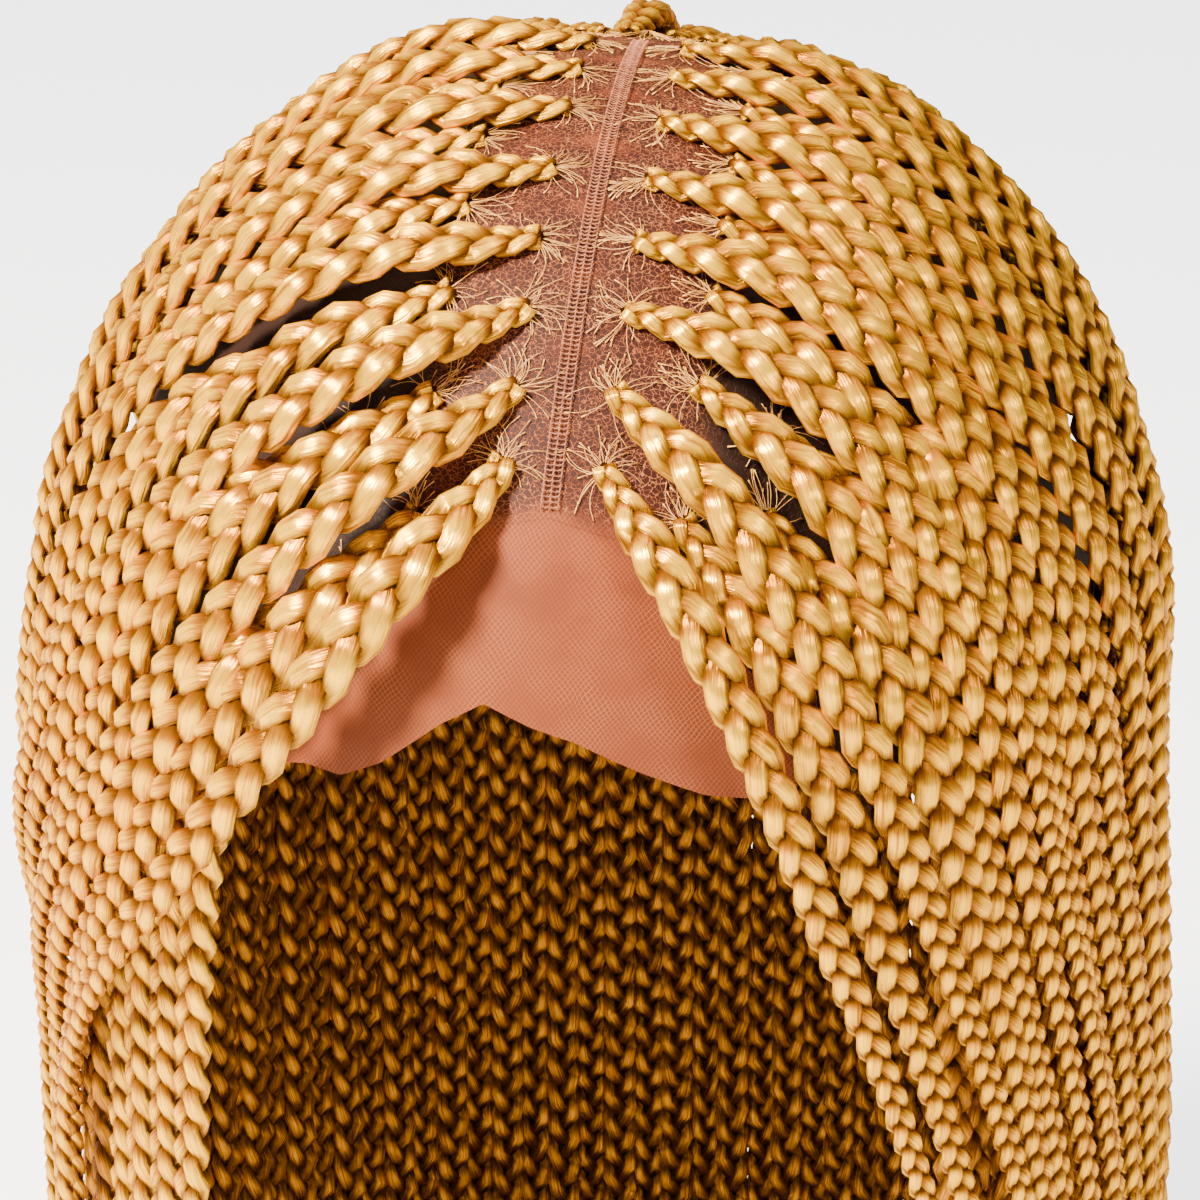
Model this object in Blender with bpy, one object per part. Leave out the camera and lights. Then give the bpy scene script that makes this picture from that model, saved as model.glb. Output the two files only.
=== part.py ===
"""Braid wig: box braids on an open lace cap with a middle parting.

Metres, +Z up, the face opening towards -Y. The origin is the inner crown of the cap, where it sits on a
head. The cap leans a little to one side, as worn, and the braids hang plumb.
Every braid follows one rule: from its root on the cap it leaves the parting sideways, bends down over
the side and hangs plumb to its end.
"""
import math

import bmesh
import bpy
from mathutils import Matrix, Vector

MM = 0.001

# Cap, as a half ellipsoid carried on a little below its widest level
CAP_HALF_WIDTH = 75.8 * MM
CAP_HALF_DEPTH = 92.0 * MM
CAP_HALF_HEIGHT = 93.7 * MM
CAP_WALL = 1.2 * MM
CAP_LEAN = math.radians(3.0)
CAP_COLUMNS = 40
CAP_ROWS = 8
PIECE_GAP = 0.4 * MM

# Braids
BRAID_HALF_WIDTH = 2.95 * MM
BRAID_HALF_THICK = 2.0 * MM
ROOT_SHARE = 0.32
ROOT_TAPER = 18.0 * MM
END_SHARE = 0.5
END_TAPER = 14.0 * MM
HAIR_END_Z = -285.0 * MM
FLARE_LEFT = 0.010
FLARE_RIGHT = 0.053
BACK_BASE_DEG = -8.0

# Heights of the braids' centre lines over the cap
LIFT_ROOT = 0.95 * MM
LIFT_TOP = 4.2 * MM
LIFT_FRONT = 8.4 * MM
LIFT_SIDE = 9.4 * MM
LIFT_INNER_DROP = 6.1 * MM
LIFT_RISE = 24.0 * MM
# Neighbours lie at slightly different heights, so that they pack closer than their width
LEVEL_OF_ROW = {1: 1.4 * MM, 2: -1.4 * MM, 3: 0.0, 4: 0.0}
LEVEL_RISE = 40.0 * MM
LIFT_FROM_DEG = 15.0
LIFT_FULL_DEG = 80.0
MIDDLE_BRAID_LEVEL = 2.4 * MM
MIDDLE_ROOT_SIDE = -3.0 * MM

# The left bundle is swept back and stands out a little above the shoulder
SWELL_LEFT = 2.6 * MM
SWELL_FROM_DEG = 84.0
SWELL_TOP_DEG = 102.0
SWELL_TO_DEG = 128.0

# How the braids fan out, one row for each leading braid from the face to the middle of the back:
# fan place, place of its root along the parting (degrees forward of the crown), direction where it
# bends (degrees down from the crown and round from the front), and direction where it hangs plumb
FAN_COLUMNS = ("place", "parting", "bend_down", "bend_side", "hang")
FAN_RIGHT = (
    (0, 52.3, 75.0, 21.5, 43.0),
    (2, 45.5, 60.5, 24.5, 54.0),
    (4, 41.5, 54.0, 32.0, 61.6),
    (6, 38.0, 46.0, 36.5, 68.6),
    (9, 30.6, 40.0, 43.0, 79.2),
    (11, 22.8, 34.0, 46.0, 85.4),
    (13, 14.0, 32.0, 58.0, 91.6),
    (15, 5.0, 32.0, 78.0, 98.0),
    (17, -4.0, 34.0, 98.0, 105.5),
    (35, -8.0, 40.0, 180.0, 180.0),
)
FAN_LEFT = (
    (0, 52.5, 92.0, 26.0, 61.0),
    (3, 45.8, 76.0, 31.0, 74.0),
    (6, 38.3, 60.0, 35.0, 85.3),
    (9, 31.0, 43.0, 38.0, 95.8),
    (11, 22.4, 36.0, 44.0, 101.2),
    (13, 13.0, 32.0, 58.0, 106.6),
    (15, 5.0, 32.0, 78.0, 111.8),
    (17, -4.0, 34.0, 98.0, 117.0),
    (35, -8.0, 40.0, 180.0, 180.0),
)

# Direction from the parting to the roots: square to it, and swinging round its back end
ROOT_COLUMNS = ("place", "turn")
ROOT_TURN = (
    (17, 90.0),
    (35, 180.0),
)

# Which row of roots each braid of a side comes from, in fan order
ROW_OF_PLACE_RIGHT = (1, 2, 1, 3, 2, 3, 1, 2, 4, 1, 2, 1, 2, 1, 2, 1, 2, 1, 4, 2, 4)
ROW_OF_PLACE_LEFT = (1, 2, 3, 1, 2, 3, 1, 2, 4, 1, 2, 1, 2, 1, 2, 1, 2, 1, 4, 2, 4)
ROW_SIDE = {1: 6.5 * MM, 2: 17.5 * MM, 3: 37.0 * MM, 4: 56.0 * MM}
ROW_SHARE_MOST = 0.6
ROW_HALVINGS = 30
BACK_PLACE_FIRST = 21
BACK_PLACE_LAST = 34
BACK_MIDDLE_PLACE = 35
BACK_TOP_SHARE = 0.25
BACK_EDGE_PLACES = 0.3

# Direction of the plumb part, counted down from the crown, 90 being the widest level of the cap
HANG_DOWN_DEG = 135.0
HANG_LEAD_DEG = 25.0

# Inner braids beside the left cheek: where they hang, degrees round from the front
INNER_LEFT = (40.0, 45.0, 50.5, 56.0)
INNER_ROOT_DOWN_DEG = 76.0
INNER_ROOT_SIDE_DEG = 30.0
INNER_ROOT_STEP_DEG = 4.5
INNER_BEND_DOWN_DEG = 90.0
INNER_BEND_LEAD_DEG = 2.0

# Inner layers behind the outer braids: name, first and last direction round from the front, ribs
INNER_COLUMNS = ("name", "first", "last", "ribs")
INNER_LAYERS = (
    ("under_right", 47.0, 118.0, 8),
    ("under_back", 122.0, 238.0, 12),
    ("under_left", -118.0, -62.0, 7),
)

INNER_TOP_DEG = 80.0

# Edges: direction round from the front, and how far down from the crown
RIM_COLUMNS = ("round", "down")
# Edge of the cap
CAP_RIM = (
    (0.0, 57.0),
    (9.0, 58.6),
    (18.0, 64.5),
    (27.0, 72.8),
    (36.0, 80.0),
    (63.0, 88.0),
    (90.0, 92.0),
    (126.0, 102.0),
    (180.0, 110.0),
)
# Cut edge of the lace over the forehead
LACE_CUT = (
    (-29.0, 82.5),
    (-24.5, 81.5),
    (-20.1, 81.5),
    (-15.8, 79.6),
    (-9.5, 75.2),
    (-5.0, 72.9),
    (0.2, 74.4),
    (5.0, 75.4),
    (11.8, 77.7),
    (18.9, 79.9),
    (24.0, 80.6),
    (29.0, 82.0),
)
LACE_SIDE_DEG = 29.0
SEAM_WIDTH = 2.4 * MM
SEAM_HEIGHT = 0.5 * MM
SEAM_FRONT_DEG = 56.4
SEAM_BACK_DEG = -7.0

# Fused layers: how high the ribs stand, how high the valleys between them, and how deep the wall is
RIB_HIGH = 2.0 * MM
RIB_LOW = 0.3 * MM
RIB_DEEP = 1.6 * MM

# Colour and roughness of each material
HAIR_COLOUR = (0.68, 0.38, 0.10)
INNER_HAIR_COLOUR = (0.42, 0.20, 0.045)
CAP_COLOUR = (0.17, 0.065, 0.038)
LACE_COLOUR = (0.74, 0.44, 0.34)
SEAM_COLOUR = (0.40, 0.20, 0.15)
HAIR_ROUGH = 0.42
INNER_HAIR_ROUGH = 0.5
CAP_ROUGH = 0.85
LACE_ROUGH = 0.8

LEAN = Matrix.Rotation(CAP_LEAN, 3, "Y")
CAP_CENTRE = LEAN @ Vector((0, 0, CAP_WALL - CAP_HALF_HEIGHT))


def direction(down_deg, round_deg):
    """Unit direction from the cap's centre: degrees down from the crown, and round from the front."""
    down = math.radians(down_deg)
    turn = math.radians(round_deg)
    return Vector((math.sin(down) * math.sin(turn), -math.sin(down) * math.cos(turn), math.cos(down)))


def down_and_round(ray):
    """The two angles of a unit direction, in radians."""
    return math.acos(max(-1.0, min(1.0, ray.z))), math.atan2(ray.x, -ray.y)


def smooth(share):
    share = max(0.0, min(1.0, share))
    return share * share * (3.0 - 2.0 * share)


def between(columns, rows, value, name):
    """Straight-line reading of a named column of a table whose first column rises."""
    column = columns.index(name)
    last = rows[0]
    for row in rows:
        if value <= row[0]:
            if row[0] == last[0]:
                return row[column]
            share = (value - last[0]) / (row[0] - last[0])
            return last[column] + share * (row[column] - last[column])
        last = row
    return last[column]


def shell_point(ray, lift):
    """Point at a height over the cap. Below the widest level the shell goes plumb and flares a little."""
    down, turn = down_and_round(ray)
    half = Vector((CAP_HALF_WIDTH + lift, CAP_HALF_DEPTH + lift, CAP_HALF_HEIGHT + lift))
    if down <= math.pi / 2:
        return CAP_CENTRE + LEAN @ Vector((half.x * ray.x, half.y * ray.y, half.z * ray.z))
    drop = CAP_HALF_HEIGHT * (down - math.pi / 2)
    outward = Vector((math.sin(turn), -math.cos(turn), 0))
    level = LEAN @ Vector((half.x * outward.x, half.y * outward.y, 0))
    flare = FLARE_LEFT + (FLARE_RIGHT - FLARE_LEFT) * (0.5 + 0.5 * math.sin(turn))
    return CAP_CENTRE + level + outward * (flare * drop) - Vector((0, 0, drop))


def cap_point(ray, lift):
    """Point on the closed ellipsoid of the cap, also below its widest level."""
    half = Vector((CAP_HALF_WIDTH + lift, CAP_HALF_DEPTH + lift, CAP_HALF_HEIGHT + lift))
    return CAP_CENTRE + LEAN @ Vector((half.x * ray.x, half.y * ray.y, half.z * ray.z))


def outer_lift(ray):
    """Height of the outer braids: low at the crown, more at the sides where an inner layer lies below."""
    down, turn = down_and_round(ray)
    level = LIFT_FRONT + (LIFT_SIDE - LIFT_FRONT) * math.sin(turn) ** 2
    return LIFT_TOP + (level - LIFT_TOP) * smooth((math.degrees(down) - LIFT_FROM_DEG) / (LIFT_FULL_DEG - LIFT_FROM_DEG))


def left_swell(ray):
    """How far the left bundle stands out at a direction: a smooth rise and fall."""
    down, turn = down_and_round(ray)
    down_deg = math.degrees(down)
    rise = smooth((down_deg - SWELL_FROM_DEG) / (SWELL_TOP_DEG - SWELL_FROM_DEG))
    fall = smooth((SWELL_TO_DEG - down_deg) / (SWELL_TO_DEG - SWELL_TOP_DEG))
    aside = max(0.0, -math.sin(turn))
    return SWELL_LEFT * aside * min(rise, fall)


def parting_root(side, place, row, fan):
    """Direction of a root: beside the parting, or round its back end for the places behind."""
    base_deg = max(BACK_BASE_DEG, between(FAN_COLUMNS, fan, place, "parting"))
    base = direction(base_deg, 0.0) if base_deg >= 0 else direction(-base_deg, 180.0)
    turn = between(ROOT_COLUMNS, ROOT_TURN, place, "turn")
    offset = Vector((math.sin(math.radians(turn)), -math.cos(math.radians(turn)), 0))
    root = base + offset * (ROW_SIDE[row] / CAP_HALF_WIDTH)
    root.x *= side
    return root.normalized()


def fan_curve(side, place, fan):
    """The four guiding directions of the curve at one place of the fan."""
    bend_down = between(FAN_COLUMNS, fan, place, "bend_down")
    bend_side = between(FAN_COLUMNS, fan, place, "bend_side")
    hang = between(FAN_COLUMNS, fan, place, "hang")
    return (
        parting_root(side, place, 1, fan),
        direction(bend_down, side * bend_side),
        direction(HANG_DOWN_DEG - HANG_LEAD_DEG, side * hang),
        direction(HANG_DOWN_DEG, side * hang),
    )


def on_curve(guides, share):
    """Point of a cubic curve of directions."""
    rest = 1.0 - share
    ray = (
        guides[0] * rest ** 3
        + guides[1] * (3 * share * rest ** 2)
        + guides[2] * (3 * share ** 2 * rest)
        + guides[3] * share ** 3
    )
    return ray.normalized()


def row_start(guides, row):
    """Share of a fan curve at which a row's roots stand, found by halving."""
    if row == 1:
        return 0.0
    low, high = 0.0, ROW_SHARE_MOST
    for _ in range(ROW_HALVINGS):
        middle = 0.5 * (low + high)
        if abs(on_curve(guides, middle).x) * CAP_HALF_WIDTH < ROW_SIDE[row]:
            low = middle
        else:
            high = middle
    return low


def braid_route(guides, start, level, inner, shares):
    """Centre points and outward normals: the curve over the cap, then plumb to the end."""
    points = []
    normals = []
    before = None
    run = 0.0
    for share in shares:
        ray = on_curve(guides, start + (1.0 - start) * share)
        full = outer_lift(ray) - (LIFT_INNER_DROP if inner else 0.0)
        bare = shell_point(ray, full)
        if before is not None:
            run += (bare - before).length
        before = bare
        lift = LIFT_ROOT + (full - LIFT_ROOT) * smooth(run / LIFT_RISE)
        lift += level * smooth(run / LEVEL_RISE)
        if not inner:
            lift += left_swell(ray)
        points.append(shell_point(ray, lift))
        normals.append((shell_point(ray, lift + MM) - shell_point(ray, lift)).normalized())
    outward = normals[-1]
    top = points[-1]
    for share in TAIL_SHARES:
        points.append(Vector((top.x, top.y, top.z + (HAIR_END_Z - top.z) * share)))
        normals.append(outward)
    return points, normals


CURVE_SHARES = (0.0, 0.05, 0.12, 0.22, 0.34, 0.47, 0.6, 0.73, 0.86, 1.0)
TAIL_SHARES = (0.2, 0.88, 1.0)
# Corners of a braid's cross-section: share of the half width and of the half thickness
SECTION = ((-1.0, 0.0), (-0.55, 1.0), (0.55, 1.0), (1.0, 0.0), (0.55, -1.0), (-0.55, -1.0))


def braid_mesh(points, normals):
    """Flattened tube along a route, thin at the root and drawn in at its end."""
    runs = [0.0]
    for first, second in zip(points, points[1:]):
        runs.append(runs[-1] + (second - first).length)
    verts = []
    for i, (point, normal) in enumerate(zip(points, normals)):
        ahead = points[min(i + 1, len(points) - 1)] - points[max(i - 1, 0)]
        across = ahead.cross(normal).normalized()
        out = across.cross(ahead).normalized()
        size = ROOT_SHARE + (1.0 - ROOT_SHARE) * smooth(runs[i] / ROOT_TAPER)
        left = runs[-1] - runs[i]
        size *= END_SHARE + (1.0 - END_SHARE) * smooth(left / END_TAPER)
        for wide, thick in SECTION:
            verts.append(
                point
                + across * (wide * size * BRAID_HALF_WIDTH)
                + out * (thick * size * BRAID_HALF_THICK)
            )
    count = len(SECTION)
    faces = []
    for ring in range(len(points) - 1):
        for k in range(count):
            a = ring * count + k
            b = ring * count + (k + 1) % count
            faces.append((a, b, b + count, a + count))
    faces.append(tuple(range(count))[::-1])
    faces.append(tuple(range(len(verts) - count, len(verts))))
    return verts, faces


def closed_shell(outer, inner, wrap):
    """Solid between two equal grids of points, closed along the grid's free edges."""
    rows = len(outer)
    cols = len(outer[0])
    verts = [p for row in outer for p in row] + [p for row in inner for p in row]
    shift = rows * cols
    faces = []
    spans = cols if wrap else cols - 1
    for r in range(rows - 1):
        for c in range(spans):
            d = (c + 1) % cols
            a, b, e, f = r * cols + c, r * cols + d, (r + 1) * cols + d, (r + 1) * cols + c
            faces.append((a, b, e, f))
            faces.append((shift + f, shift + e, shift + b, shift + a))
    for c in range(spans):
        d = (c + 1) % cols
        faces.append((d, c, shift + c, shift + d))
        base = (rows - 1) * cols
        faces.append((base + c, base + d, shift + base + d, shift + base + c))
    if not wrap:
        for r in range(rows - 1):
            a, b = r * cols, (r + 1) * cols
            faces.append((a, b, shift + b, shift + a))
            a, b = r * cols + cols - 1, (r + 1) * cols + cols - 1
            faces.append((b, a, shift + a, shift + b))
    return verts, faces


def material(name, colour, roughness):
    made = bpy.data.materials.new(name)
    made.use_nodes = True
    shader = made.node_tree.nodes["Principled BSDF"]
    shader.inputs["Base Color"].default_value = (*colour, 1.0)
    shader.inputs["Roughness"].default_value = roughness
    shader.inputs["Metallic"].default_value = 0.0
    made.diffuse_color = (*colour, 1.0)
    return made


def add_object(name, verts, faces, colour, roughness):
    """One named solid with its own material, faces turned outward."""
    mesh = bpy.data.meshes.new(name)
    mesh.from_pydata([tuple(v) for v in verts], [], faces)
    mesh.update()
    obj = bpy.data.objects.new(name, mesh)
    bpy.context.collection.objects.link(obj)
    obj.data.materials.append(material(name, colour, roughness))
    work = bmesh.new()
    work.from_mesh(mesh)
    bmesh.ops.recalc_face_normals(work, faces=work.faces)
    work.to_mesh(mesh)
    work.free()
    return obj


def make_cap():
    """Open dome from the crown to the rim, one wall thick."""
    columns = CAP_COLUMNS
    rows = CAP_ROWS
    outer = []
    inner = []
    for r in range(1, rows + 1):
        ring_out = []
        ring_in = []
        for c in range(columns):
            turn = -180.0 + 360.0 * c / columns
            down = between(RIM_COLUMNS, CAP_RIM, abs(turn), "down") * r / rows
            ray = direction(down, turn)
            ring_out.append(cap_point(ray, 0.0))
            ring_in.append(cap_point(ray, -CAP_WALL))
        outer.append(ring_out)
        inner.append(ring_in)
    verts, faces = closed_shell(outer, inner, True)
    faces = [f for f in faces if not all(v % (rows * columns) < columns for v in f)]
    crown = len(verts)
    verts.append(cap_point(direction(0, 0), 0.0))
    verts.append(cap_point(direction(0, 0), -CAP_WALL))
    for c in range(columns):
        d = (c + 1) % columns
        faces.append((crown, c, d))
        faces.append((crown + 1, rows * columns + d, rows * columns + c))
    return add_object("cap", verts, faces, CAP_COLOUR, CAP_ROUGH)


def make_lace_front():
    """Lace over the forehead, from the cap's front edge down to its uneven cut edge."""
    columns = 25
    rows = 5
    edge_gap = math.degrees(PIECE_GAP / CAP_HALF_HEIGHT)
    outer = []
    inner = []
    for r in range(rows):
        ring_out = []
        ring_in = []
        for c in range(columns):
            turn = -LACE_SIDE_DEG + 2 * LACE_SIDE_DEG * c / (columns - 1)
            top = between(RIM_COLUMNS, CAP_RIM, abs(turn), "down") + edge_gap
            cut = between(RIM_COLUMNS, LACE_CUT, turn, "down")
            ray = direction(top + (cut - top) * r / (rows - 1), turn)
            ring_out.append(cap_point(ray, 0.0))
            ring_in.append(cap_point(ray, -CAP_WALL))
        outer.append(ring_out)
        inner.append(ring_in)
    verts, faces = closed_shell(outer, inner, False)
    return add_object("lace_front", verts, faces, LACE_COLOUR, LACE_ROUGH)


def make_part_seam():
    """Raised woven line along the middle of the parting."""
    steps = 22
    outer = []
    inner = []
    half = 0.5 * SEAM_WIDTH / CAP_HALF_WIDTH
    for i in range(steps):
        angle = SEAM_FRONT_DEG + (SEAM_BACK_DEG - SEAM_FRONT_DEG) * i / (steps - 1)
        ray = direction(abs(angle), 0.0 if angle >= 0 else 180.0)
        row_out = []
        row_in = []
        for side in (-1, 1):
            edge = Vector((side * half, ray.y, ray.z)).normalized()
            row_out.append(cap_point(edge, PIECE_GAP + SEAM_HEIGHT))
            row_in.append(cap_point(edge, PIECE_GAP))
        outer.append(row_out)
        inner.append(row_in)
    verts, faces = closed_shell(outer, inner, False)
    return add_object("part_seam", verts, faces, SEAM_COLOUR, LACE_ROUGH)


def make_side_braids(side, label, fan, rows):
    """The outer braids of one side, from the face back."""
    for place, row in enumerate(rows):
        guides = fan_curve(side, place, fan)
        start = row_start(guides, row)
        points, normals = braid_route(guides, start, LEVEL_OF_ROW[row], False, CURVE_SHARES)
        verts, faces = braid_mesh(points, normals)
        add_object("braid_%s_%02d" % (label, place + 1), verts, faces, HAIR_COLOUR, HAIR_ROUGH)


def make_middle_braid():
    root, *rest = fan_curve(1, BACK_MIDDLE_PLACE, FAN_RIGHT)
    root.x += MIDDLE_ROOT_SIDE / CAP_HALF_WIDTH
    guides = (root.normalized(), *rest)
    points, normals = braid_route(guides, 0.0, MIDDLE_BRAID_LEVEL, False, CURVE_SHARES)
    verts, faces = braid_mesh(points, normals)
    add_object("braid_back", verts, faces, HAIR_COLOUR, HAIR_ROUGH)


def make_inner_left():
    """Braids that hang straight beside the left cheek, behind the swept ones."""
    for i, hang in enumerate(INNER_LEFT):
        guides = (
            direction(INNER_ROOT_DOWN_DEG, -(INNER_ROOT_SIDE_DEG + INNER_ROOT_STEP_DEG * i)),
            direction(INNER_BEND_DOWN_DEG, -(hang - INNER_BEND_LEAD_DEG)),
            direction(HANG_DOWN_DEG - HANG_LEAD_DEG, -hang),
            direction(HANG_DOWN_DEG, -hang),
        )
        points, normals = braid_route(guides, 0.0, 0.0, True, CURVE_SHARES)
        verts, faces = braid_mesh(points, normals)
        add_object("braid_inner_%02d" % (i + 1), verts, faces, HAIR_COLOUR, HAIR_ROUGH)


def ribbed_layer(rays_at, ribs, lift_drop, shares):
    """Fused row of braids: a thin wall whose outer side has one rib for each braid.

    Its top edge is sewn down to the cap, and from there it rises to its full height.
    """
    outer = []
    inner = []
    columns = 2 * ribs + 1
    for share in shares:
        row_out = []
        row_in = []
        for c in range(columns):
            ray = rays_at(c / (columns - 1), min(1.0, share))
            lift = outer_lift(ray) - lift_drop
            if share == 0.0:
                lift = RIB_DEEP + PIECE_GAP
            bump = RIB_HIGH if c % 2 else RIB_LOW
            high = shell_point(ray, lift + bump)
            low = shell_point(ray, lift - RIB_DEEP)
            if share > 1.0:
                fall = share - 1.0
                high.z += (HAIR_END_Z - high.z) * fall
                low.z += (HAIR_END_Z - low.z) * fall
            row_out.append(high)
            row_in.append(low)
        outer.append(row_out)
        inner.append(row_in)
    return closed_shell(outer, inner, False)


# Shares of the curve at which a fused layer has a section; past 1 it goes plumb to the end
BACK_SHARES = (0.0, 0.14, 0.28, 0.42, 0.56, 0.77, 1.0, 2.0)
INNER_SHARES = (0.0, 0.18, 1.0, 2.0)


def make_back(side, label):
    """Fused outer braids of one half of the back."""
    fan = FAN_RIGHT if side > 0 else FAN_LEFT
    first = BACK_PLACE_FIRST - BACK_EDGE_PLACES
    last = BACK_PLACE_LAST - BACK_EDGE_PLACES

    def rays_at(across, share):
        guides = fan_curve(side, first + (last - first) * across, fan)
        return on_curve(guides, BACK_TOP_SHARE + (1.0 - BACK_TOP_SHARE) * share)

    ribs = BACK_PLACE_LAST - BACK_PLACE_FIRST + 1
    verts, faces = ribbed_layer(rays_at, ribs, 0.0, BACK_SHARES)
    add_object("back_%s" % label, verts, faces, HAIR_COLOUR, HAIR_ROUGH)


def make_inner_layers():
    for name, first, last, ribs in INNER_LAYERS:
        def rays_at(across, share):
            down = INNER_TOP_DEG + (HANG_DOWN_DEG - INNER_TOP_DEG) * share
            return direction(down, first + (last - first) * across)

        verts, faces = ribbed_layer(rays_at, ribs, LIFT_INNER_DROP, INNER_SHARES)
        add_object(name, verts, faces, INNER_HAIR_COLOUR, INNER_HAIR_ROUGH)


def main():
    for obj in list(bpy.data.objects):
        bpy.data.objects.remove(obj, do_unlink=True)
    make_cap()
    make_lace_front()
    make_part_seam()
    make_side_braids(1, "right", FAN_RIGHT, ROW_OF_PLACE_RIGHT)
    make_side_braids(-1, "left", FAN_LEFT, ROW_OF_PLACE_LEFT)
    make_middle_braid()
    make_inner_left()
    make_back(1, "right")
    make_back(-1, "left")
    make_inner_layers()


main()
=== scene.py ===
"""Braid wig: three-strand plaits, root hairs, lace and parting seam, in the part's own frame.

Every plait follows the same rule as its solid: a cubic curve of directions from its root on the cap, laid on
a shell over the cap, then plumb to its end. The sizes and tables below are the part's own.
"""
import math

import bpy
import numpy as np
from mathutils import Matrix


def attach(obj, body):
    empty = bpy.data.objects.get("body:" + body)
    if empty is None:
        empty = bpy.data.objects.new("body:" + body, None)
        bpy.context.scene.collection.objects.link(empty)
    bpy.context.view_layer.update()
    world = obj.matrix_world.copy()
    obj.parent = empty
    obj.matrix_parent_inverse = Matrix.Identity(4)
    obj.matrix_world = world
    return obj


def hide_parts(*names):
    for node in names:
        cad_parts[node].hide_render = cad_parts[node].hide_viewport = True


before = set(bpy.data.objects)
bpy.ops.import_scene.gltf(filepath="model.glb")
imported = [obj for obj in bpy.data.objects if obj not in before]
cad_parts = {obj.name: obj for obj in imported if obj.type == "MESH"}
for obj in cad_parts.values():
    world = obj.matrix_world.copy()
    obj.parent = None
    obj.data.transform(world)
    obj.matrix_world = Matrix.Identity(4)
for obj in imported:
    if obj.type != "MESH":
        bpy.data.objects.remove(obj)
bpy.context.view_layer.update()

bl_info = {
    "name": "Braid wig",
    "version": (1, 0, 0),
    "blender": (4, 5, 0),
    "location": "View3D > Sidebar > Braid wig",
    "description": "Plaits, lace and parting seam of a braid wig",
    "category": "Add Mesh",
}

MM = 0.001

# Cap, as a half ellipsoid carried on a little below its widest level
CAP_HALF = np.array((75.8, 92.0, 93.7)) * MM
CAP_WALL = 1.2 * MM
CAP_LEAN = math.radians(3.0)
PIECE_GAP = 0.4 * MM

# Heights of the plaits' centre lines over the cap
LIFT_ROOT = 0.95 * MM
LIFT_TOP = 4.2 * MM
LIFT_FRONT = 8.4 * MM
LIFT_SIDE = 9.4 * MM
LIFT_INNER_DROP = 6.1 * MM
LIFT_RISE = 24.0 * MM
LIFT_FROM_DEG = 15.0
LIFT_FULL_DEG = 80.0
LEVEL_OF_ROW = {1: 1.4 * MM, 2: -1.4 * MM, 3: 0.0, 4: 0.0}
LEVEL_RISE = 40.0 * MM
MIDDLE_BRAID_LEVEL = 2.4 * MM
MIDDLE_ROOT_SIDE = -3.0 * MM
FLARE_LEFT = 0.010
FLARE_RIGHT = 0.053
BACK_BASE_DEG = -8.0
SWELL_LEFT = 2.6 * MM
SWELL_FROM_DEG = 84.0
SWELL_TOP_DEG = 102.0
SWELL_TO_DEG = 128.0
HAIR_END_Z = -285.0 * MM

# How the braids fan out: fan place, place of the root along the parting, direction of the bend, and
# direction where it hangs plumb, all in degrees
FAN_COLUMNS = ("place", "parting", "bend_down", "bend_side", "hang")
FAN_RIGHT = (
    (0, 52.3, 75.0, 21.5, 43.0),
    (2, 45.5, 60.5, 24.5, 54.0),
    (4, 41.5, 54.0, 32.0, 61.6),
    (6, 38.0, 46.0, 36.5, 68.6),
    (9, 30.6, 40.0, 43.0, 79.2),
    (11, 22.8, 34.0, 46.0, 85.4),
    (13, 14.0, 32.0, 58.0, 91.6),
    (15, 5.0, 32.0, 78.0, 98.0),
    (17, -4.0, 34.0, 98.0, 105.5),
    (35, -8.0, 40.0, 180.0, 180.0),
)
FAN_LEFT = (
    (0, 52.5, 92.0, 26.0, 61.0),
    (3, 45.8, 76.0, 31.0, 74.0),
    (6, 38.3, 60.0, 35.0, 85.3),
    (9, 31.0, 43.0, 38.0, 95.8),
    (11, 22.4, 36.0, 44.0, 101.2),
    (13, 13.0, 32.0, 58.0, 106.6),
    (15, 5.0, 32.0, 78.0, 111.8),
    (17, -4.0, 34.0, 98.0, 117.0),
    (35, -8.0, 40.0, 180.0, 180.0),
)
ROOT_COLUMNS = ("place", "turn")
ROOT_TURN = (
    (17, 90.0),
    (35, 180.0),
)
ROW_OF_PLACE_RIGHT = (1, 2, 1, 3, 2, 3, 1, 2, 4, 1, 2, 1, 2, 1, 2, 1, 2, 1, 4, 2, 4)
ROW_OF_PLACE_LEFT = (1, 2, 3, 1, 2, 3, 1, 2, 4, 1, 2, 1, 2, 1, 2, 1, 2, 1, 4, 2, 4)
ROW_SIDE = {1: 6.5 * MM, 2: 17.5 * MM, 3: 28.0 * MM, 4: 34.0 * MM}
# A second-row root lies this share of the way to the first-row place behind it, and its bend takes this
# share of that place; a third-row bend is shifted by this much of a place
ROW_TWO_SHARE = 0.75
ROW_TWO_BEND = 0.4
ROW_THREE_SHIFT = 0.4
ROW_SHARE_MOST = 0.6
ROW_HALVINGS = 30
BACK_PLACE_FIRST = 21
BACK_PLACE_LAST = 34
BACK_MIDDLE_PLACE = 35
# Where on its curve each plait at the back is rooted, in turn: every third one leads up to the parting
BACK_ROOT_SHARES = (0.10, 0.25, 0.18)
BACK_LEVELS = (1.2 * MM, -1.0 * MM)
INNER_LEVELS = (0.9 * MM, -0.9 * MM)
HANG_DOWN_DEG = 135.0
HANG_LEAD_DEG = 25.0
INNER_LEFT = (40.0, 45.0, 50.5, 56.0)
INNER_ROOT_DOWN_DEG = 76.0
INNER_ROOT_SIDE_DEG = 30.0
INNER_ROOT_STEP_DEG = 4.5
INNER_BEND_DOWN_DEG = 90.0
INNER_BEND_LEAD_DEG = 2.0
INNER_TOP_DEG = 80.0
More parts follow.
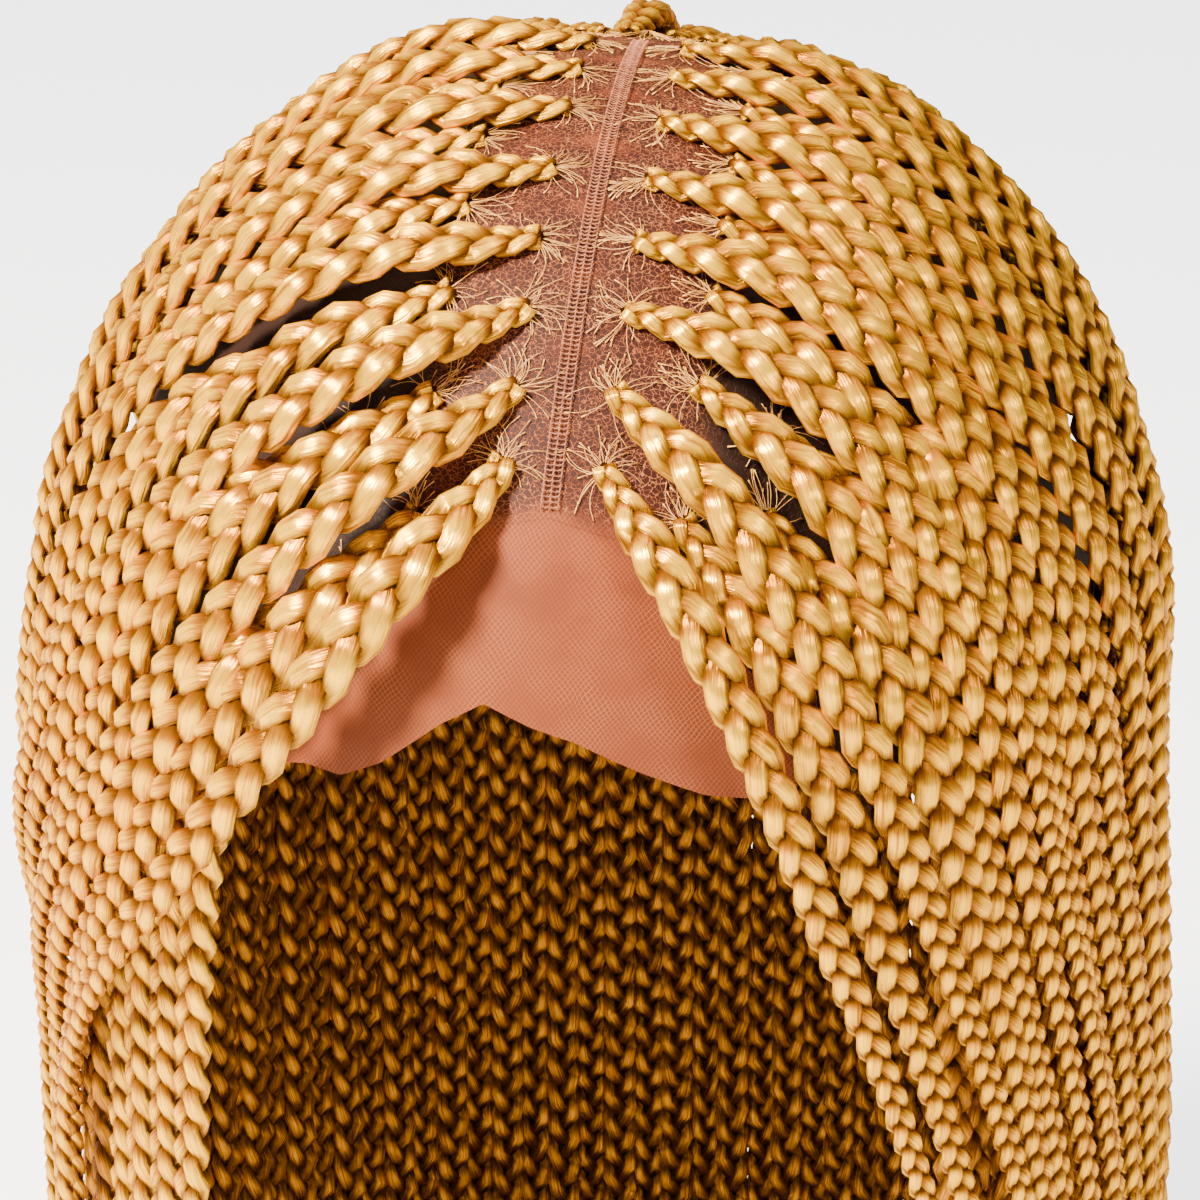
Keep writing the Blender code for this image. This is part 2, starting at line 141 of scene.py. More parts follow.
# Under layers: first and last direction round from the front, and how many plaits between them
INNER_LAYERS = (
    ("under_right", 47.0, 119.0, 19),
    ("under_back", 120.5, 239.5, 32),
    ("under_left", -119.0, -62.0, 15),
)

# Edges: direction round from the front, and how far down from the crown
RIM_COLUMNS = ("round", "down")
CAP_RIM = (
    (0.0, 57.0),
    (9.0, 58.6),
    (18.0, 64.5),
    (27.0, 72.8),
    (36.0, 80.0),
    (63.0, 88.0),
    (90.0, 92.0),
    (126.0, 102.0),
    (180.0, 110.0),
)
LACE_CUT = (
    (-29.0, 82.5),
    (-24.5, 81.5),
    (-20.1, 81.5),
    (-15.8, 79.6),
    (-9.5, 75.2),
    (-5.0, 72.9),
    (0.2, 74.4),
    (5.0, 75.4),
    (11.8, 77.7),
    (18.9, 79.9),
    (24.0, 80.6),
    (29.0, 82.0),
)
LACE_SIDE_DEG = 29.0
# The net lies open beside the parting and in the free lace, and under the plaits it is painted in shade
NET_SEEN = 15.0 * MM
LACE_SEEN = 90.0 * MM
NET_FADE = 7.0 * MM
TANGLE_FULL = 3.0 * MM
TANGLE_FADE = 9.0 * MM
SEAM_FRONT_DEG = 56.4
SEAM_BACK_DEG = -7.0
# The grids start and meet this far apart, so no two of their points coincide
GRID_GAP_DEG = 0.02
CAP_ROWS = 60
CAP_COLUMNS = 160
LACE_ROWS = 36
LACE_COLUMNS = 121

# Three-strand plait: each strand swings across the plait once, and in and out twice, in a period
SWING_SHARE = 0.52
DEPTH_SHARE = 0.25
STRAND_WIDE_SHARE = 0.48
STRAND_THICK_SHARE = 0.33
STRAND_ROLL = math.radians(18.0)
# A strand lingers by this share of a radian on top and hurries below, which makes its lobes long
LINGER = 0.08
# The sides of a plait lie in the shade of its neighbours: least share, and the share of its depth over
# which the shade fades
FOLD_EDGE = 0.76
FOLD_DEEP = 0.5
ROOT_SIZE = 0.52
ROOT_TAPER = 15.0 * MM
# A plait slims by a share from near its root to below the cap's side rim, and its period with it
SLIM_BACK = 0.12
SLIM_FROM = 25.0 * MM
SLIM_OVER = 105.0 * MM
END_SIZE = 0.45
END_TAPER = 16.0 * MM
# Width of the inner and back plaits against the usual
BACK_WIDER = 0.86
# The plaits are thickest beside the front opening, more so on the left: fan place, width against the usual
# on each side, and the share by which the plait slims
WIDER_COLUMNS = ("place", "right", "left", "slim")
WIDER = (
    (0, 0.93, 1.10, 0.42),
    (2, 1.04, 1.10, 0.42),
    (6, 1.00, 1.06, 0.40),
    (9, 1.00, 1.02, 0.32),
    (12, 1.00, 1.04, 0.16),
    (20, 1.00, 1.08, 0.10),
)
# Least and most shares of the usual width and of the usual period, and the span of the tones
VARY = ((0.97, 1.03), (0.95, 1.05))
VARY_BACK = ((0.96, 1.02), (0.94, 1.07))
VARY_LAYER = ((0.97, 1.03), (0.94, 1.07))
TONE_SPAN = 40.0
STRANDS = 3
TONE_STEP = 0.31
# Sides of a strand and steps in a period: side plaits, back plaits and under layers
FINE = (7, 9)
MIDDLING = (7, 8)
COARSE = (6, 7)
# Points of a route over the cap and on its plumb part, and points at which a plait's size is worked out
CURVE_POINTS = 220
TAIL_POINTS = 40
LAYER_POINTS = 60
LAYER_TAIL_POINTS = 30
SIZE_POINTS = 900

# Parting seam: three lines of thread and the rungs between them
SEAM_LINES = (-1.15 * MM, 0.0, 1.15 * MM)
SEAM_LINE_POINTS = 420
SEAM_LINE_WAVE = 0.07 * MM
SEAM_LINE_TURN = 2.1
SEAM_LINE_LIFT = 0.08 * MM
SEAM_LINE_RADIUS = 0.09 * MM
RUNGS = 140
RUNG_POINTS = 9
RUNG_HALF = 1.15 * MM
RUNG_SLANT = 0.12 * MM
RUNG_WAVE = 0.10 * MM
RUNG_WAVE_TURN = 9.0
RUNG_LIFT = 0.12 * MM
RUNG_RADIUS = 0.085 * MM
THREAD_SIDES = 5

# Loose hairs at a root: their spread is in radians, and each ends in a tiny knot
ROOT_HAIR_POINTS = 6
ROOT_HAIR_SIDES = 3
ROOT_HAIR_SPREAD = 1.05
ROOT_HAIR_CURL = 0.9
ROOT_HAIR_REACH = (0.55, 1.15)
ROOT_HAIR_AHEAD = 0.9 * MM
ROOT_HAIR_LOW = 0.18 * MM
ROOT_HAIR_HIGH = 1.0 * MM
ROOT_HAIR_ARCH = 0.35 * MM
ROOT_HAIR_RADIUS = 0.055 * MM
ROOT_HAIR_THINNING = 0.4
KNOT_RADIUS = 0.12 * MM
# Step along a fan curve that shows which way a plait leaves its root
LEAVING_STEP = 0.02

# Seeds of the random draws
SEED_SIDES = {1: 150, -1: 50}
SEED_INNER = 300
SEED_MIDDLE = 320
SEED_BACKS = {1: 401, -1: 399}
SEED_LAYERS = 500
SEED_SEAM = 7
SEED_ROOT_HAIRS = 11

# Camera: where it looks, from which side, how far off and how long the lens is
CAMERA_TARGET = (-4.79 * MM, 0.0, -85.14 * MM)
CAMERA_AZIMUTH_DEG = 7.095
CAMERA_RAISE_DEG = 22.47
CAMERA_DISTANCE = 665.44 * MM
CAMERA_LENS = 128.98
SENSOR_WIDTH = 36.0
CLIP_START = 0.01

# Stage: a wide floor a little below the hair, a pale backdrop, and lights with place, size and watts
FLOOR_HALF = 4.0
FLOOR_Z = HAIR_END_Z - 2.0 * MM
FLOOR_COLOUR = "#ECEBE9"
BACKDROP_COLOUR = "#EEF0F8"
FLOOR_GLOW = 3.0
BACKDROP_LIGHTING = 0.2
BACKDROP_SEEN = 3.9
LIGHT_COLOUR = "#FFF4E2"
LIGHT_TARGET = (0.0, 0.0, -0.12)
LIGHTS = (
    ("key", (-0.72, -0.66, 0.92), 0.30, 124.0),
    ("fill", (0.75, -0.85, 0.45), 0.4, 13.0),
    ("top", (0.0, 0.35, 1.2), 0.5, 10.0),
)


# Directions and shells, worked out for whole arrays

def rays(down_deg, round_deg):
    """Unit directions (sin d sin r, -sin d cos r, cos d) of angles down from the crown and round."""
    down, turn = np.broadcast_arrays(np.radians(down_deg), np.radians(round_deg))
    return np.stack((np.sin(down) * np.sin(turn), -np.sin(down) * np.cos(turn), np.cos(down)), axis=-1)


def lean(points):
    """Turn about the Y axis by the cap's lean."""
    c, s = math.cos(CAP_LEAN), math.sin(CAP_LEAN)
    x, y, z = points[..., 0], points[..., 1], points[..., 2]
    return np.stack((c * x + s * z, y, c * z - s * x), axis=-1)


CAP_CENTRE = lean(np.array((0.0, 0.0, CAP_WALL - CAP_HALF[2])))


def lean_back(points):
    """Undo the turn by the cap's lean."""
    c, s = math.cos(CAP_LEAN), math.sin(CAP_LEAN)
    x, y, z = points[..., 0], points[..., 1], points[..., 2]
    return np.stack((c * x - s * z, y, c * z + s * x), axis=-1)


def angles(ray):
    """Angle down from the crown and angle round from the front, in radians."""
    return np.arccos(np.clip(ray[..., 2], -1.0, 1.0)), np.arctan2(ray[..., 0], -ray[..., 1])


def unit(vectors):
    """Vectors divided by their lengths."""
    return vectors / np.maximum(np.linalg.norm(vectors, axis=-1, keepdims=True), 1e-12)


def smooth(share):
    """Smooth step 3 s^2 - 2 s^3 of a share held between 0 and 1."""
    share = np.clip(share, 0.0, 1.0)
    return share * share * (3.0 - 2.0 * share)


def between(columns, rows, value, name):
    """Straight-line reading of a named column of a table whose first column rises."""
    table = np.array(rows, dtype=float)
    return np.interp(value, table[:, 0], table[:, columns.index(name)])


def cap_points(ray, lift):
    """Points of the ellipsoid grown by the lift: centre + lean(half sizes times direction)."""
    lift = np.asarray(lift)[..., None]
    return CAP_CENTRE + lean((CAP_HALF + lift) * ray)


def shell_points(ray, lift):
    """As the ellipsoid down to its widest level, then plumb and a little flared: the drop is the height
    of the cap times the angle past that level, and the shell moves out by the flare times the drop."""
    down, turn = angles(ray)
    lift = np.broadcast_to(lift, down.shape)
    over = cap_points(ray, lift)
    drop = CAP_HALF[2] * np.maximum(0.0, down - math.pi / 2)
    outward = np.stack((np.sin(turn), -np.cos(turn), np.zeros_like(turn)), axis=-1)
    level = lean((CAP_HALF + lift[..., None]) * outward)
    flare = FLARE_LEFT + (FLARE_RIGHT - FLARE_LEFT) * (0.5 + 0.5 * np.sin(turn))
    fallen = CAP_CENTRE + level + outward * (flare * drop)[..., None]
    fallen[..., 2] -= drop
    return np.where((down <= math.pi / 2)[..., None], over, fallen)


def outer_lift(ray):
    """Height of the outer plaits: low at the crown, more at the sides where an inner layer lies below."""
    down, turn = angles(ray)
    level = LIFT_FRONT + (LIFT_SIDE - LIFT_FRONT) * np.sin(turn) ** 2
    rise = (np.degrees(down) - LIFT_FROM_DEG) / (LIFT_FULL_DEG - LIFT_FROM_DEG)
    return LIFT_TOP + (level - LIFT_TOP) * smooth(rise)


def left_swell(ray):
    """How far the left bundle stands out at a direction: a smooth rise and fall."""
    down, turn = angles(ray)
    down = np.degrees(down)
    rise = smooth((down - SWELL_FROM_DEG) / (SWELL_TOP_DEG - SWELL_FROM_DEG))
    fall = smooth((SWELL_TO_DEG - down) / (SWELL_TO_DEG - SWELL_TOP_DEG))
    return SWELL_LEFT * np.maximum(0.0, -np.sin(turn)) * np.minimum(rise, fall)


def parting_root(side, place, fan):
    """Direction of a first-row root: beside the parting, or round its back end for the places behind."""
    base_deg = max(BACK_BASE_DEG, float(between(FAN_COLUMNS, fan, place, "parting")))
    base = rays(abs(base_deg), 0.0 if base_deg >= 0 else 180.0)
    turn = float(between(ROOT_COLUMNS, ROOT_TURN, place, "turn"))
    root = base + rays(90.0, turn) * (ROW_SIDE[1] / CAP_HALF[0])
    root[0] *= side
    return unit(root)


def fan_curve(side, place, fan):
    """The four guiding directions of the curve at one place of the fan."""
    bend_down = between(FAN_COLUMNS, fan, place, "bend_down")
    bend_side = between(FAN_COLUMNS, fan, place, "bend_side")
    hang = between(FAN_COLUMNS, fan, place, "hang")
    return np.array((
        parting_root(side, place, fan),
        rays(bend_down, side * bend_side),
        rays(HANG_DOWN_DEG - HANG_LEAD_DEG, side * hang),
        rays(HANG_DOWN_DEG, side * hang),
    ))


def on_curve(guides, share):
    """Cubic curve of directions: the four guides weighted by the Bernstein polynomials, made unit."""
    share = np.asarray(share, dtype=float)
    rest = 1.0 - share
    weights = np.stack((rest ** 3, 3 * share * rest ** 2, 3 * share ** 2 * rest, share ** 3), axis=-1)
    return unit(weights @ guides)


def row_start(guides, row):
    """Share of a fan curve at which a row's roots stand, found by halving."""
    if row == 1:
        return 0.0
    low, high = 0.0, ROW_SHARE_MOST
    for _ in range(ROW_HALVINGS):
        middle = 0.5 * (low + high)
        if abs(on_curve(guides, middle)[0]) * CAP_HALF[0] < ROW_SIDE[row]:
            low = middle
        else:
            high = middle
    return low


def lengths_run(points):
    """Length run along a line at each of its points."""
    return np.concatenate(([0.0], np.cumsum(np.linalg.norm(np.diff(points, axis=0), axis=1))))


def hang(points, normals, count):
    """A line carried on plumb from its last point to the hair's end, with its normals and length run."""
    top = points[-1]
    tail_z = np.linspace(top[2], HAIR_END_Z, count)[1:, None]
    tail = np.concatenate((np.repeat(top[None, :2], len(tail_z), axis=0), tail_z), axis=1)
    points = np.concatenate((points, tail))
    normals = np.concatenate((normals, np.repeat(normals[-1:], len(tail), axis=0)))
    return points, normals, lengths_run(points)


def route(guides, start, level, inner):
    """Centre line and outward normals of a plait, with the length run at each of its points.

    The lift grows smoothly from the root's to the full one with the length run, and the plumb part is a
    straight line from the curve's end to the hair's end.
    """
    share = np.linspace(0.0, 1.0, CURVE_POINTS)
    ray = on_curve(guides, start + (1.0 - start) * share)
    full = outer_lift(ray) - (LIFT_INNER_DROP if inner else 0.0)
    run = lengths_run(shell_points(ray, full))
    lift = LIFT_ROOT + (full - LIFT_ROOT) * smooth(run / LIFT_RISE) + level * smooth(run / LEVEL_RISE)
    if not inner:
        lift = lift + left_swell(ray)
    points = shell_points(ray, lift)
    return hang(points, unit(shell_points(ray, lift + MM) - points), TAIL_POINTS)


def layer_route(turn_deg, level):
    """As a route, for a plait of the inner layers: it starts at the layer's top and hangs plumb."""
    share = np.linspace(0.0, 1.0, LAYER_POINTS)
    ray = rays(INNER_TOP_DEG + (HANG_DOWN_DEG - INNER_TOP_DEG) * share, turn_deg)
    lift = outer_lift(ray) - LIFT_INNER_DROP + level
    points = shell_points(ray, lift)
    return hang(points, unit(shell_points(ray, lift + MM) - points), LAYER_TAIL_POINTS)


# Meshes

class Surface:
    """Points, faces, UVs and attributes of one piece, gathered from grids and turned into a mesh."""

    def __init__(self):
        self.points = []
        self.quads = []
        self.uvs = []
        self.values = {}
        self.count = 0

    def add_grid(self, points, uv, values, wrap):
        """A grid of rows by columns. Where it wraps, the last column joins the first one, and an end row that
        is all one point closes that end with a fan of thin quads."""
        rows, cols = points.shape[:2]
        index = np.arange(rows * cols).reshape(rows, cols)
        if wrap:
            right = np.roll(index, -1, axis=1)
            a, b, c, d = index[:-1], right[:-1], right[1:], index[1:]
            u = np.broadcast_to(uv[..., 0], (rows, cols))
            v = np.broadcast_to(uv[..., 1], (rows, cols))
            v_next = v + (v[:, 1:2] - v[:, :1])
            corners = np.stack(
                (
                    np.stack((u[:-1], v[:-1]), -1),
                    np.stack((u[:-1], v_next[:-1]), -1),
                    np.stack((u[1:], v_next[1:]), -1),
                    np.stack((u[1:], v[1:]), -1),
                ),
                axis=2,
            )
        else:
            a, b, c, d = index[:-1, :-1], index[:-1, 1:], index[1:, 1:], index[1:, :-1]
            corners = np.stack((uv[:-1, :-1], uv[:-1, 1:], uv[1:, 1:], uv[1:, :-1]), axis=2)
        quads = np.stack((a, b, c, d), axis=-1).reshape(-1, 4)
        self.points.append(points.reshape(-1, 3))
        self.quads.append(quads + self.count)
        self.uvs.append(corners.reshape(-1, 2))
        for name, value in values.items():
            self.values.setdefault(name, []).append(np.broadcast_to(value, (rows, cols)).reshape(-1))
        self.count += rows * cols

    def build(self, name, material):
        """The piece as an object with its material, smooth all over."""
        points = np.concatenate(self.points)
        quads = np.concatenate(self.quads)
        uvs = np.concatenate(self.uvs)
        mesh = bpy.data.meshes.new(name)
        mesh.vertices.add(len(points))
        mesh.vertices.foreach_set("co", points.astype(np.float32).ravel())
        mesh.loops.add(quads.size)
        mesh.loops.foreach_set("vertex_index", quads.astype(np.int32).ravel())
        mesh.polygons.add(len(quads))
        mesh.polygons.foreach_set("loop_start", np.arange(0, quads.size, 4, dtype=np.int32))
        mesh.update(calc_edges=True)
        layer = mesh.uv_layers.new(name="UVMap")
        layer.data.foreach_set("uv", uvs.astype(np.float32).ravel())
        for key, parts in self.values.items():
            attribute = mesh.attributes.new(key, "FLOAT", "POINT")
            attribute.data.foreach_set("value", np.concatenate(parts).astype(np.float32))
        mesh.polygons.foreach_set("use_smooth", np.full(len(quads), True))
        mesh.materials.append(material)
        mesh.validate()
        obj = bpy.data.objects.new(name, mesh)
        bpy.context.collection.objects.link(obj)
        return obj


def frames_along(points, normals):
    """Unit vectors ahead, across and out along a line."""
    ahead = unit(np.gradient(points, axis=0))
    across = unit(np.cross(ahead, normals))
    return ahead, across, np.cross(across, ahead)


def tube(surface, points, side, out, wide, thick, sides, tone, fold=None, crest=None):
    """Oval tube: centre + wide cos a side + thick sin a out, drawn to a point at both ends.

    Its UVs are the length run and the way round, in metres. Fold is given at each point of the grid, and
    crest at each point of the line.
    """
    angle = np.arange(sides) * (2 * math.pi / sides) - math.pi / 2
    ring = (
        (wide[:, None] * np.cos(angle))[..., None] * side[:, None, :]
        + (thick[:, None] * np.sin(angle))[..., None] * out[:, None, :]
    )
    grid = points[:, None, :] + ring
    start = np.repeat(points[None, :1], sides, axis=1).reshape(1, sides, 3)
    end = np.repeat(points[None, -1:], sides, axis=1).reshape(1, sides, 3)
    grid = np.concatenate((start, grid, end))
    run = lengths_run(points)
    run = np.concatenate((run[:1], run, run[-1:]))
    girth = 2 * math.pi * 0.5 * (np.mean(wide) + np.mean(thick))
    u = np.broadcast_to(run[:, None], (len(run), sides))
    v = np.broadcast_to((np.arange(sides) / sides * girth)[None, :], (len(run), sides))
    if fold is None:
        fold = np.ones((len(points), sides))
    if crest is None:
        crest = np.ones(len(points))
    fold = np.concatenate((fold[:1], fold, fold[-1:]))
    crest = np.concatenate((crest[:1], crest, crest[-1:]))[:, None]
    surface.add_grid(grid, np.stack((u, v), axis=-1), {"fold": fold, "crest": crest, "tone": tone}, True)


def plait(surface, line, half_width, period, phase, tone, detail, slim):
    """Three-strand plait on a line.

    Strand k is at the angle t = 2 pi (length run / period) + 2 pi k / 3, slowed on top to
    a = t + linger cos 2t. It is displaced across the line by swing sin a and out of it by depth sin 2a,
    so it passes over the others on its way outward and under them on its way back. Its section is an oval
    that rolls with sin a. Fold is the distance of a point from the plait's middle, less at its sides, and
    crest is the size of sin a: 0 where the strand crosses the middle and 1 where it turns back.
    """
    sides, steps = detail
    points, normals, run = line
    total = run[-1]
    fine = np.linspace(0.0, total, SIZE_POINTS)
    share = ROOT_SIZE + (1.0 - ROOT_SIZE) * smooth(fine / ROOT_TAPER)
    share = share * (1.0 - slim * smooth((fine - SLIM_FROM) / SLIM_OVER))
    local = period * share
    turns = np.concatenate(([0.0], np.cumsum(np.diff(fine) / (0.5 * (local[1:] + local[:-1])))))
    rings = int(math.ceil(turns[-1] * steps)) + 1
    at = np.interp(np.linspace(0.0, turns[-1], rings), turns, fine)
    centre = np.stack([np.interp(at, run, points[:, i]) for i in range(3)], axis=-1)
    normal = unit(np.stack([np.interp(at, run, normals[:, i]) for i in range(3)], axis=-1))
    _, across, out = frames_along(centre, normal)
    size = np.interp(at, fine, share)
    size = size * (END_SIZE + (1.0 - END_SIZE) * smooth((total - at) / END_TAPER)) * half_width
    angle = 2 * math.pi * (np.linspace(0.0, turns[-1], rings) + phase)
    for k in range(STRANDS):
        even = angle + 2 * math.pi * k / STRANDS
        a = even + LINGER * np.cos(2 * even)
        rise = np.sin(2 * a)
        path = (
            centre
            + across * (SWING_SHARE * size * np.sin(a))[:, None]
            + out * (DEPTH_SHARE * size * rise)[:, None]
        )
        along = unit(np.gradient(path, axis=0))
        roll = STRAND_ROLL * np.sin(a)
        face = out * np.cos(roll)[:, None] + across * np.sin(roll)[:, None]
        wide_dir = unit(np.cross(along, face))
        face = np.cross(wide_dir, along)
        wide = STRAND_WIDE_SHARE * size
        thick = STRAND_THICK_SHARE * size
        around = np.arange(sides) * (2 * math.pi / sides) - math.pi / 2
        ring = (
            (wide[:, None] * np.cos(around))[..., None] * wide_dir[:, None, :]
            + (thick[:, None] * np.sin(around))[..., None] * face[:, None, :]
        ) + (path - centre)[:, None, :]
        aside = np.einsum("rsi,ri->rs", ring, across) / size[:, None]
        height = np.einsum("rsi,ri->rs", ring, out) / (size[:, None] * (DEPTH_SHARE + STRAND_THICK_SHARE))
        # fold and crest steer the painted shade and the painted highlight of the hair colour
        fold = np.hypot(aside, height) * (FOLD_EDGE + (1.0 - FOLD_EDGE) * smooth(np.abs(height) / FOLD_DEEP))
        crest = np.abs(np.sin(a))
        tube(surface, path, wide_dir, face, wide, thick, sides, tone + TONE_STEP * k, fold, crest)


# Materials

def linear(hex_colour):
    """sRGB hex text turned to a linear colour."""
    parts = [int(hex_colour[i:i + 2], 16) / 255.0 for i in (1, 3, 5)]
    return tuple(p / 12.92 if p <= 0.04045 else ((p + 0.055) / 1.055) ** 2.4 for p in parts) + (1.0,)


class Nodes:
    """The node tree of a material or a world, with one way to add a node, its settings and its links."""

    def __init__(self, owner, shader):
        owner.use_nodes = True
        self.owner = owner
        self.tree = owner.node_tree
        self.shader = self.tree.nodes[shader]

    def add(self, kind, inputs, out=0, **settings):
        """Add a node, set it, fill its inputs with sockets or values, and give back one output."""
        node = self.tree.nodes.new("ShaderNode" + kind)
        for key, value in settings.items():
            setattr(node, key, value)
        self.fill(node, inputs)
        return node.outputs[out]

    def fill(self, node, inputs):
        """Link each input to its socket or set it to its value."""
        for key, value in inputs.items():
            if isinstance(value, bpy.types.NodeSocket):
                self.tree.links.new(value, node.inputs[key])
            else:
                node.inputs[key].default_value = value

    def finish(self, inputs):
        """Fill the shader's inputs and give back the material or world."""
        self.fill(self.shader, inputs)
        return self.owner


def hair_material(name, light, middle, dark, deep):
    """Synthetic braiding fibre, smooth extruded strands laid parallel and plaited under tension.

    To the eye: a satin band across each lobe, partly a painted highlight, broken into fine lines along the
    fibres, going to amber and brown in painted shade where a strand dives under its neighbour.
    """
    nodes = Nodes(bpy.data.materials.new(name), "Principled BSDF")
    light, middle, dark, deep = (linear(colour) for colour in (light, middle, dark, deep))
    run = nodes.add("SeparateXYZ", {0: nodes.add("UVMap", {})})
    girth = run.node.outputs["Y"]
    tone = nodes.add("Attribute", {}, "Fac", attribute_name="tone")
    fold = nodes.add("Attribute", {}, "Fac", attribute_name="fold")
    crest = nodes.add("Attribute", {}, "Fac", attribute_name="crest")
    # one fibre bundle is about 0.35 mm across and runs about 9 mm before it changes
    along = nodes.add("Math", {0: run, 1: 110.0}, operation="MULTIPLY")
    around = nodes.add("Math", {0: girth, 1: 2800.0}, operation="MULTIPLY")
    other = nodes.add("Math", {0: tone, 1: 17.0}, operation="MULTIPLY")
    place = nodes.add("CombineXYZ", {0: along, 1: around, 2: other})
    fibre = nodes.add("TexNoise", {"Vector": place, "Scale": 1.0, "Detail": 3.0, "Roughness": 0.6}, "Fac")
    # locks of fibres are about 1.5 mm across
    around = nodes.add("Math", {0: girth, 1: 700.0}, operation="MULTIPLY")
    other = nodes.add("Math", {0: tone, 1: 5.0}, operation="MULTIPLY")
    place = nodes.add("CombineXYZ", {0: along, 1: around, 2: other})
    lock = nodes.add("TexNoise", {"Vector": place, "Scale": 1.0, "Detail": 1.0}, "Fac")
    fibre_part = nodes.add("Math", {0: fibre, 1: 0.62}, operation="MULTIPLY")
    lock_part = nodes.add("Math", {0: lock, 1: 0.38}, operation="MULTIPLY")
    mixed = nodes.add("Math", {0: fibre_part, 1: lock_part}, operation="ADD")
    # painted shade and painted highlight: a lobe is painted darkest where it comes out from under the other
    # strands, and lighter from there
    risen = nodes.add(
        "MapRange", {"Value": crest, "From Min": 0.05, "From Max": 0.8}, interpolation_type="SMOOTHSTEP"
    )
    lit = nodes.add("Math", {0: risen, 1: 0.40}, operation="MULTIPLY")
    brightness = nodes.add("Math", {0: mixed, 1: lit}, operation="ADD")
    shade = nodes.add(
        "MapRange", {"Value": brightness, "From Min": 0.64, "From Max": 0.98}, interpolation_type="SMOOTHSTEP"
    )
    colour = nodes.add("Mix", {0: shade, 6: middle, 7: light}, 2, data_type="RGBA")
    # thin dark lines stand between the fibres
    full = nodes.add(
        "MapRange", {"Value": mixed, "From Min": 0.32, "From Max": 0.45}, interpolation_type="SMOOTHSTEP"
    )
    thin = nodes.add("Math", {0: full, 1: -0.5, 2: 0.5}, operation="MULTIPLY_ADD")
    colour = nodes.add("Mix", {0: thin, 6: colour, 7: dark}, 2, data_type="RGBA")
    # painted shade: the folds between the lobes are painted dark, and the strands' hidden sides darker still
    open_part = nodes.add(
        "MapRange", {"Value": fold, "From Min": 0.60, "From Max": 0.98}, interpolation_type="SMOOTHSTEP"
    )
    under = nodes.add("Math", {0: open_part, 1: -0.85, 2: 0.85}, operation="MULTIPLY_ADD")
    colour = nodes.add("Mix", {0: under, 6: colour, 7: dark}, 2, data_type="RGBA")
    outside = nodes.add(
        "MapRange", {"Value": fold, "From Min": 0.30, "From Max": 0.66}, interpolation_type="SMOOTHSTEP"
    )
    colour = nodes.add("Mix", {0: outside, 6: deep, 7: colour}, 2, data_type="RGBA")
    bump = nodes.add("Bump", {"Height": mixed, "Strength": 1.0, "Distance": 0.5 * MM})
    return nodes.finish({
        "Base Color": colour,
        "Roughness": nodes.add("Math", {0: fibre, 1: 0.22, 2: 0.17}, operation="MULTIPLY_ADD"),
        "Normal": bump,
        "Tangent": nodes.add("Tangent", {}, direction_type="UV_MAP"),
        "Anisotropic": 0.8,
        "Anisotropic Rotation": 0.25,
        "Metallic": 0.6,
        "IOR": 1.55,
        "Specular IOR Level": 0.4,
        "Specular Tint": linear("#FFC63C"),
    })


